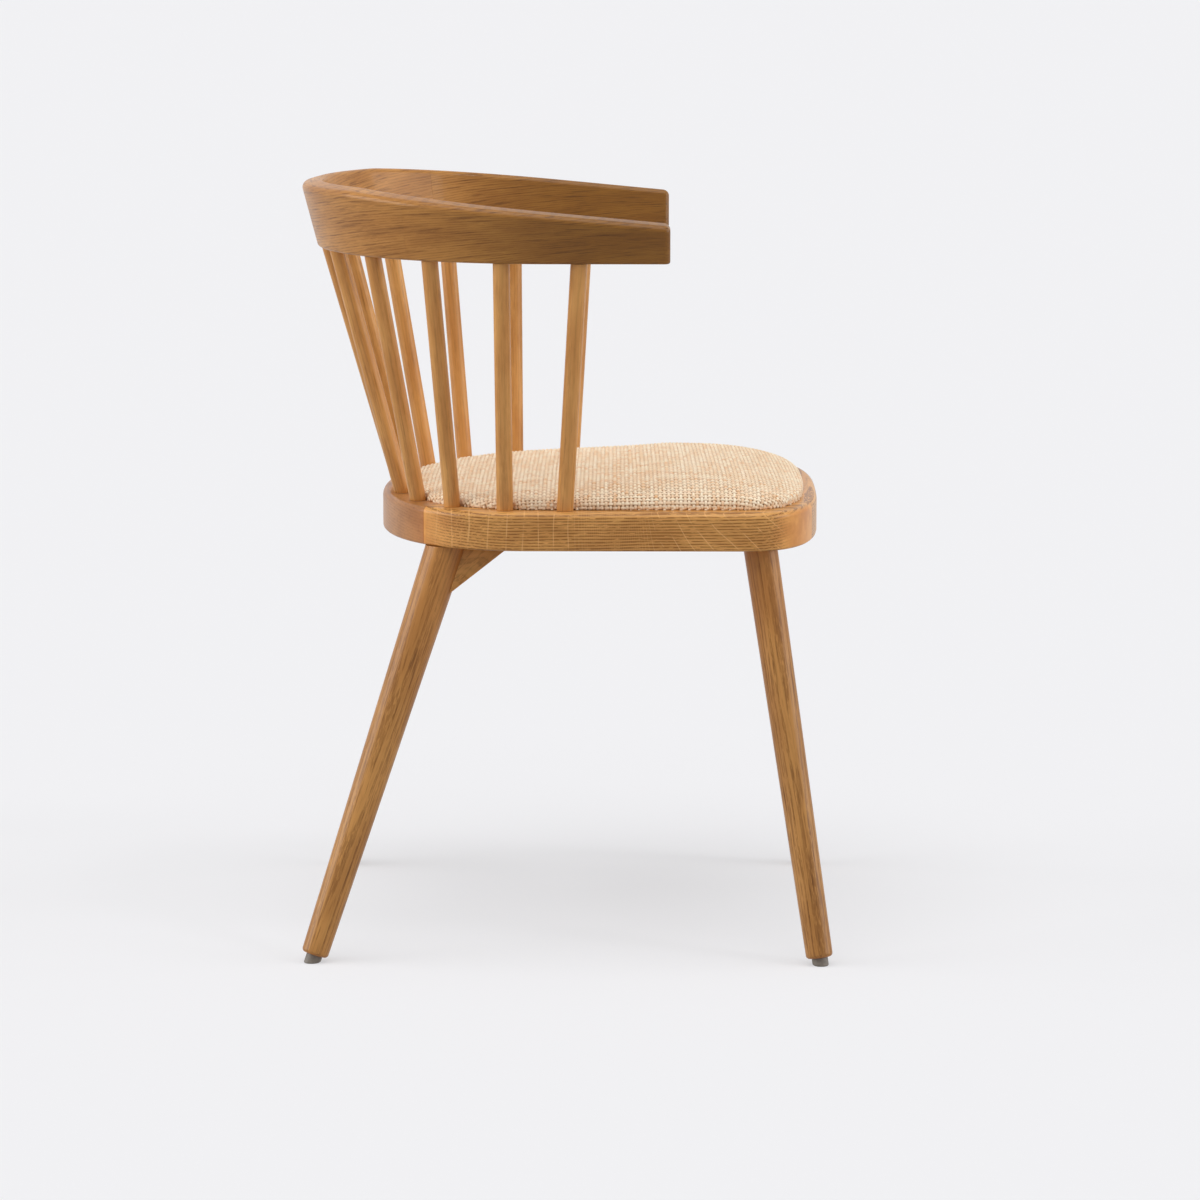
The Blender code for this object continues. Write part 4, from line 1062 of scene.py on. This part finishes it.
class Dome:
    """The woven seat's surface: a crowned dome with rolled edges that turn down to the
    frame, dented behind the spindles."""

    def __init__(self):
        w = weave()
        self.w = w
        self.centre = np.array((w.crown_centre, 0.0))
        outer, inner = (both_halves(seat_half_outline(w.side_inset + roll, w.front_inset + roll,
                                                      OUTLINE_STEPS)) for roll in (0, w.roll))
        self.edge, self.inner = self.polar(outer), self.polar(inner)
        self.rim, self.out = resampled(inner)
        self.tangent = np.stack((-self.out[:, 1], self.out[:, 0]), 1)
        full = self.widths()
        self.run = full - self.dents(full)
        steps = 1 - np.cos(np.linspace(0, math.pi / 2, ROLL_STEPS))
        steps = 1 - steps[::-1]
        places = [self.rim + self.out * (full * step)[:, None] for step in steps]
        self.reach = np.stack([self.run * step for step in steps], 1)
        self.rise = np.stack([self.height(place) for place in places], 1)
        self.rise[:, -1] = w.skirt
        pieces = np.hypot(np.diff(self.reach, axis=1), np.diff(self.rise, axis=1))
        self.arc = np.concatenate([np.zeros((len(self.rim), 1)), np.cumsum(pieces, 1)], 1)

    def polar(self, outline):
        """An outline as distances from the crown's centre at rising angles."""
        points = resampled(outline)[0] - self.centre
        angles = np.arctan2(points[:, 1], points[:, 0])
        order = np.argsort(angles)
        angles, reach = angles[order], np.hypot(*points[order].T)
        return (np.concatenate((angles - 2 * math.pi, angles, angles + 2 * math.pi)),
                np.tile(reach, 3))

    def radial(self, places, outline):
        """How far out places lie, from 0 at the crown's centre to 1 on the outline."""
        offset = places - self.centre
        angle = np.arctan2(offset[:, 1], offset[:, 0])
        return np.hypot(offset[:, 0], offset[:, 1]) / np.interp(angle, *outline)

    def widths(self):
        """How far the edge lies outwards of each point of the rim where the roll starts."""
        low, high = np.zeros(len(self.rim)), np.full(len(self.rim), FARTHEST_EDGE)
        for _ in range(HALVINGS):
            middle = (low + high) / 2
            inside = self.radial(self.rim + self.out * middle[:, None], self.edge) < 1
            low, high = np.where(inside, middle, low), np.where(inside, high, middle)
        return low

    def dents(self, full):
        """How deep the spindles press into the edge at each point of the rim."""
        w = self.w
        edge = self.rim + self.out * full[:, None]
        dent = np.zeros(len(self.rim))
        for name in SPINDLES:
            foot = middle_of(ring_at(name, SEAT_TOP + GAP))
            gap = np.hypot(edge[:, 0] - foot.x, edge[:, 1] - foot.y)
            beside = np.sqrt(np.maximum(gap ** 2 - DENT_START ** 2, 0))
            dent = np.maximum(dent, w.dent * np.exp(-(beside / w.dent_reach) ** 2))
        return dent

    def height(self, places):
        """Height above the frame's top at places inside the edge."""
        w = self.w
        radial = np.minimum(self.radial(places, self.edge), 1.0)
        behind = np.clip((RIDGE - places[:, 0]) / RIDGE_TO_REAR, 0, 1)
        before = np.clip((places[:, 0] - RIDGE) / RIDGE_TO_FRONT, 0, 1)
        level = (1 - w.crown_fall * behind ** FALL_POWER) * (1 - before ** 2)
        dome = np.maximum(1 - radial ** w.crown_power, 0) ** (1 / w.edge_power)
        return w.skirt + w.crown * level * dome

    def lay(self, places, axis):
        """Where a strand lies whose flat places are given: points, outward normals, and
        whether each is on the seat at all. axis is 0 for a strand along X and 1 along Y: at
        the edge it runs down to the frame, or stops short of it where it lies beside it."""
        points = np.zeros((len(places), 3))
        normals = np.zeros((len(places), 3))
        inside = self.radial(places, self.inner) <= 1
        flat = places[inside]
        slopes = [(self.height(flat + move) - self.height(flat - move)) / (2 * SLOPE_STEP)
                  for move in ((SLOPE_STEP, 0), (0, SLOPE_STEP))]
        points[inside] = np.column_stack((flat, self.height(flat)))
        normals[inside] = np.column_stack((-slopes[0], -slopes[1], np.ones(len(flat))))
        on_seat = inside.copy()
        for index in np.nonzero(~inside)[0]:
            found = self.over_edge(places[index], axis)
            if found:
                on_seat[index] = True
                points[index], normals[index] = found
        points[:, 2] += SEAT_TOP + GAP
        normals /= np.maximum(np.linalg.norm(normals, axis=1), 1e-9)[:, None]
        return points, normals, on_seat

    def over_edge(self, place, axis):
        """Point and normal of a flat place that lies beyond the rim of the roll, or None
        where the strand has ended."""
        w = self.w
        near = int(np.argmin(((self.rim - place) ** 2).sum(1)))
        beyond = float((place - self.rim[near]) @ self.out[near])
        beside = float((place - self.rim[near]) @ self.tangent[near])
        arc, out = self.arc[near], self.out[near]
        runs_down = abs(out[axis]) > MEETS_EDGE
        spare = w.pitch / 2 if runs_down else -w.strand_width / 2
        if beyond > arc[-1] + w.skirt + spare:
            return None
        if beyond <= arc[-1]:
            ahead = min(beyond + SLOPE_STEP, arc[-1])
            reach, rise = (np.interp((beyond, ahead, ahead - 2 * SLOPE_STEP), arc, line[near])
                           for line in (self.reach, self.rise))
            turn = np.array((reach[1] - reach[2], rise[1] - rise[2]))
            reach, rise = reach[0], rise[0]
        else:
            reach, rise = self.run[near], max(w.skirt - (beyond - arc[-1]), 0)
            turn = np.array((0.0, -1.0))
        turn = turn / np.hypot(*turn)
        plan = self.rim[near] + out * reach + self.tangent[near] * beside
        return (*plan, rise), (*(out * -turn[1]), turn[0])


def add_strand(whole, layer, path, sideways, upward, marks):
    """One strand: a narrow grid wrapped into a flat tube along a path. marks are the
    distance along it, its number and how high it lies."""
    along, number, lie = marks
    rows = len(path)
    grid = bmesh.ops.create_grid(whole, x_segments=rows - 1,
                                 y_segments=len(STRAND_PROFILE) - 1, size=1)
    for order, vert in enumerate(grid["verts"]):
        row, (offset, lift) = order % rows, STRAND_PROFILE[order // rows]
        vert.co = path[row] + sideways[row] * offset + upward[row] * lift
        vert[layer] = (along[row], number + offset * NUMBER_WIDTH, lie[row])


def add_border(whole, layer, dome):
    """One strand laid round the foot of the edge, over and under the others' ends."""
    w = dome.w
    pick = np.append(np.arange(0, len(dome.rim), RIMS_PER_BORDER_STEP), 0)
    out = np.column_stack((dome.out[pick], np.zeros(len(pick))))
    plan = dome.rim[pick] + dome.out[pick] * dome.run[pick, None]
    sway = -np.cos(math.pi * (plan[:, 0] - w.crown_centre + plan[:, 1]) / w.pitch)
    foot = np.full(len(pick), SEAT_TOP + GAP + w.strand_width / 2)
    path = np.column_stack((plan, foot)) + out * (w.wave * BORDER_WAVE * sway - w.sink)[:, None]
    upright = np.zeros((len(pick), 3)) + (0, 0, w.strand_width)
    along = np.arange(len(pick)) * RIMS_PER_BORDER_STEP * RIM_SPACING
    add_strand(whole, layer, path, upright, out * w.strand_thickness, (along, 0, sway))


def strand_set(dome, across, seed):
    """All the strands of one direction as one mesh, laid over the dome one by one. across
    is 0 for strands along Y and 1 for strands along X."""
    w = dome.w
    chance = random.Random(seed)
    side_reach, reach = HALF_REACH if across == 0 else HALF_REACH[::-1]
    count = int(side_reach / w.pitch)
    steps = int(reach / w.pitch * 2)
    whole = bmesh.new()
    layer = whole.verts.layers.float_vector.new("strand")
    for number in range(-count, count + 1):
        along = np.arange(-steps, steps + 1) * (w.pitch / 2)
        drift = chance.uniform(-1, 1) * STRAY
        phase, pace = chance.uniform(0, 6.3), chance.uniform(*STRAY_PACE)
        side = number * w.pitch + drift + STRAY_WAVE * np.sin(along * pace + phase)
        u, v = (side, along) if across == 0 else (along, side)
        bend = np.clip((u + FAN_START) / FAN_RUN, 0, 1) * w.fan * (v + SEAT_HALF_WIDTH)
        flat = np.column_stack((u - bend + w.crown_centre, v))
        points, normals, kept = dome.lay(flat, 1 - across)
        sway = np.cos(math.pi * (along / w.pitch + number)) * (1 if across == 0 else -1)
        width = w.strand_width * chance.uniform(*WIDTHS)
        ends = np.nonzero(np.diff(np.concatenate(([0], kept.astype(int), [0]))))[0]
        for first, last in zip(ends[::2], ends[1::2]):
            if last - first < SHORTEST:
                continue
            line = slice(first, last)
            rise = w.wave * (LIFT + (1 - LIFT) * sway[line]) - w.sink
            path = points[line] + normals[line] * rise[:, None]
            sideways = np.cross(np.gradient(path, axis=0), normals[line])
            sideways /= np.linalg.norm(sideways, axis=1)[:, None]
            add_strand(whole, layer, path, sideways * width, normals[line] * w.strand_thickness,
                       (along[line], number, sway[line]))
    if across:
        add_border(whole, layer, dome)
    bmesh.ops.remove_doubles(whole, verts=whole.verts, dist=SAME_PLACE)
    closed(whole)
    return whole


def pad_ground(dome):
    """The pad under the strands: rings from the crown's centre to the foot of its edge,
    closed underneath."""
    w = dome.w
    sink = w.strand_thickness + w.sink
    shape = bmesh.new()
    pick = np.arange(0, len(dome.rim), RIMS_PER_COLUMN)
    count = len(pick)
    grid = bmesh.ops.create_grid(shape, x_segments=count,
                                 y_segments=PAD_RINGS + ROLL_STEPS - 1, size=1)
    for order, vert in enumerate(grid["verts"]):
        ring, angle = divmod(order, count + 1)
        index = pick[angle % count]
        step = ring - PAD_RINGS + 1
        if step <= 0:
            share_out = (ring + 1) / PAD_RINGS
            plan = dome.centre + (dome.rim[index] - dome.centre) * share_out
            rise = float(dome.height(plan[None])[0])
        elif step < ROLL_STEPS:
            reach = max(dome.reach[index, step] - sink * step / ROLL_STEPS, 0)
            plan = dome.rim[index] + dome.out[index] * reach
            rise = float(dome.rise[index, step])
        else:
            plan = dome.rim[index] + dome.out[index] * (dome.run[index] - sink)
            rise = sink
        vert.co = (plan[0], plan[1], SEAT_TOP + 2 * GAP + max(rise - sink, 0))
    bmesh.ops.remove_doubles(shape, verts=shape.verts, dist=SAME_PLANE)
    closed(shape)
    return shape


class CHAIR_OT_woven_seat(bpy.types.Operator):
    """Woven seat: the pad and the strands in both directions"""
    bl_idname = "chair.woven_seat"
    bl_label = "Woven seat"

    def execute(self, context):
        dome = Dome()
        # The pad under the strands is painted a darker copy of the painted shade colour, so that
        # the holes between the strands show painted shade
        ground = plain("weave_ground_painted_shade", shade(tones().straw_painted_shade, 0.7), 0.9)
        pad = add_piece("seat_cushion", pad_ground(dome), ground,
                        ["seat_pad", "seat_cover"])
        finish = straw("straw_strand")
        for name, across in (("strands_across", 0), ("strands_lengthwise", 1)):
            add_piece(name, strand_set(dome, across, 5 + across), finish,
                      ["seat_cover"], sharp_angle=75)
        return {"FINISHED"}


# Colours of the hidden wood
DOWEL = (0.62, 0.45, 0.26)
PLYWOOD = (0.58, 0.42, 0.25)


class CHAIR_OT_fittings(bpy.types.Operator):
    """Finishes of the dowels, the panel, the screws and the nails"""
    bl_idname = "chair.fittings"
    bl_label = "Fittings"

    def execute(self, context):
        steel = plain("screw_steel", tones().steel, 0.35, Metallic=1.0)
        finishes = {"screw": steel, "nail": steel,
                    "dowel": plain("dowel_wood", DOWEL, 0.6),
                    "seat_panel": plain("panel_plywood", PLYWOOD, 0.65)}
        for name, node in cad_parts.items():
            for word, finish in finishes.items():
                for slot in node.material_slots if word in name else ():
                    slot.material = finish
        return {"FINISHED"}


OPERATORS = (CHAIR_OT_stage, CHAIR_OT_seat_frame, CHAIR_OT_woven_seat, CHAIR_OT_spindles,
             CHAIR_OT_bow, CHAIR_OT_legs, CHAIR_OT_braces, CHAIR_OT_fittings)


class CHAIR_PT_panel(bpy.types.Panel):
    """Sidebar panel of the chair"""
    bl_idname = "CHAIR_PT_panel"
    bl_label = "Dining armchair"
    bl_space_type = "VIEW_3D"
    bl_region_type = "UI"
    bl_category = "Chair"

    def draw(self, context):
        for made in OPERATORS:
            self.layout.operator(made.bl_idname)
        for group in (context.scene.chair_sizes, context.scene.chair_weave,
                      context.scene.chair_colours):
            box = self.layout.box()
            for name in group.__annotations__:
                box.prop(group, name)


CLASSES = (ChairSizes, SeatWeave, ChairColours) + OPERATORS + (CHAIR_PT_panel,)


def register():
    """Register the classes and keep the sizes and colours with the scene."""
    for made in CLASSES:
        bpy.utils.register_class(made)
    bpy.types.Scene.chair_sizes = bpy.props.PointerProperty(type=ChairSizes)
    bpy.types.Scene.chair_weave = bpy.props.PointerProperty(type=SeatWeave)
    bpy.types.Scene.chair_colours = bpy.props.PointerProperty(type=ChairColours)


def unregister():
    """Take all of it back."""
    for name in ("chair_sizes", "chair_weave", "chair_colours"):
        delattr(bpy.types.Scene, name)
    for made in reversed(CLASSES):
        bpy.utils.unregister_class(made)


def main():
    """Register the classes and build every piece."""
    register()
    for made in OPERATORS:
        group, name = made.bl_idname.split(".")
        getattr(getattr(bpy.ops, group), name)()


if __name__ == "__main__":
    main()
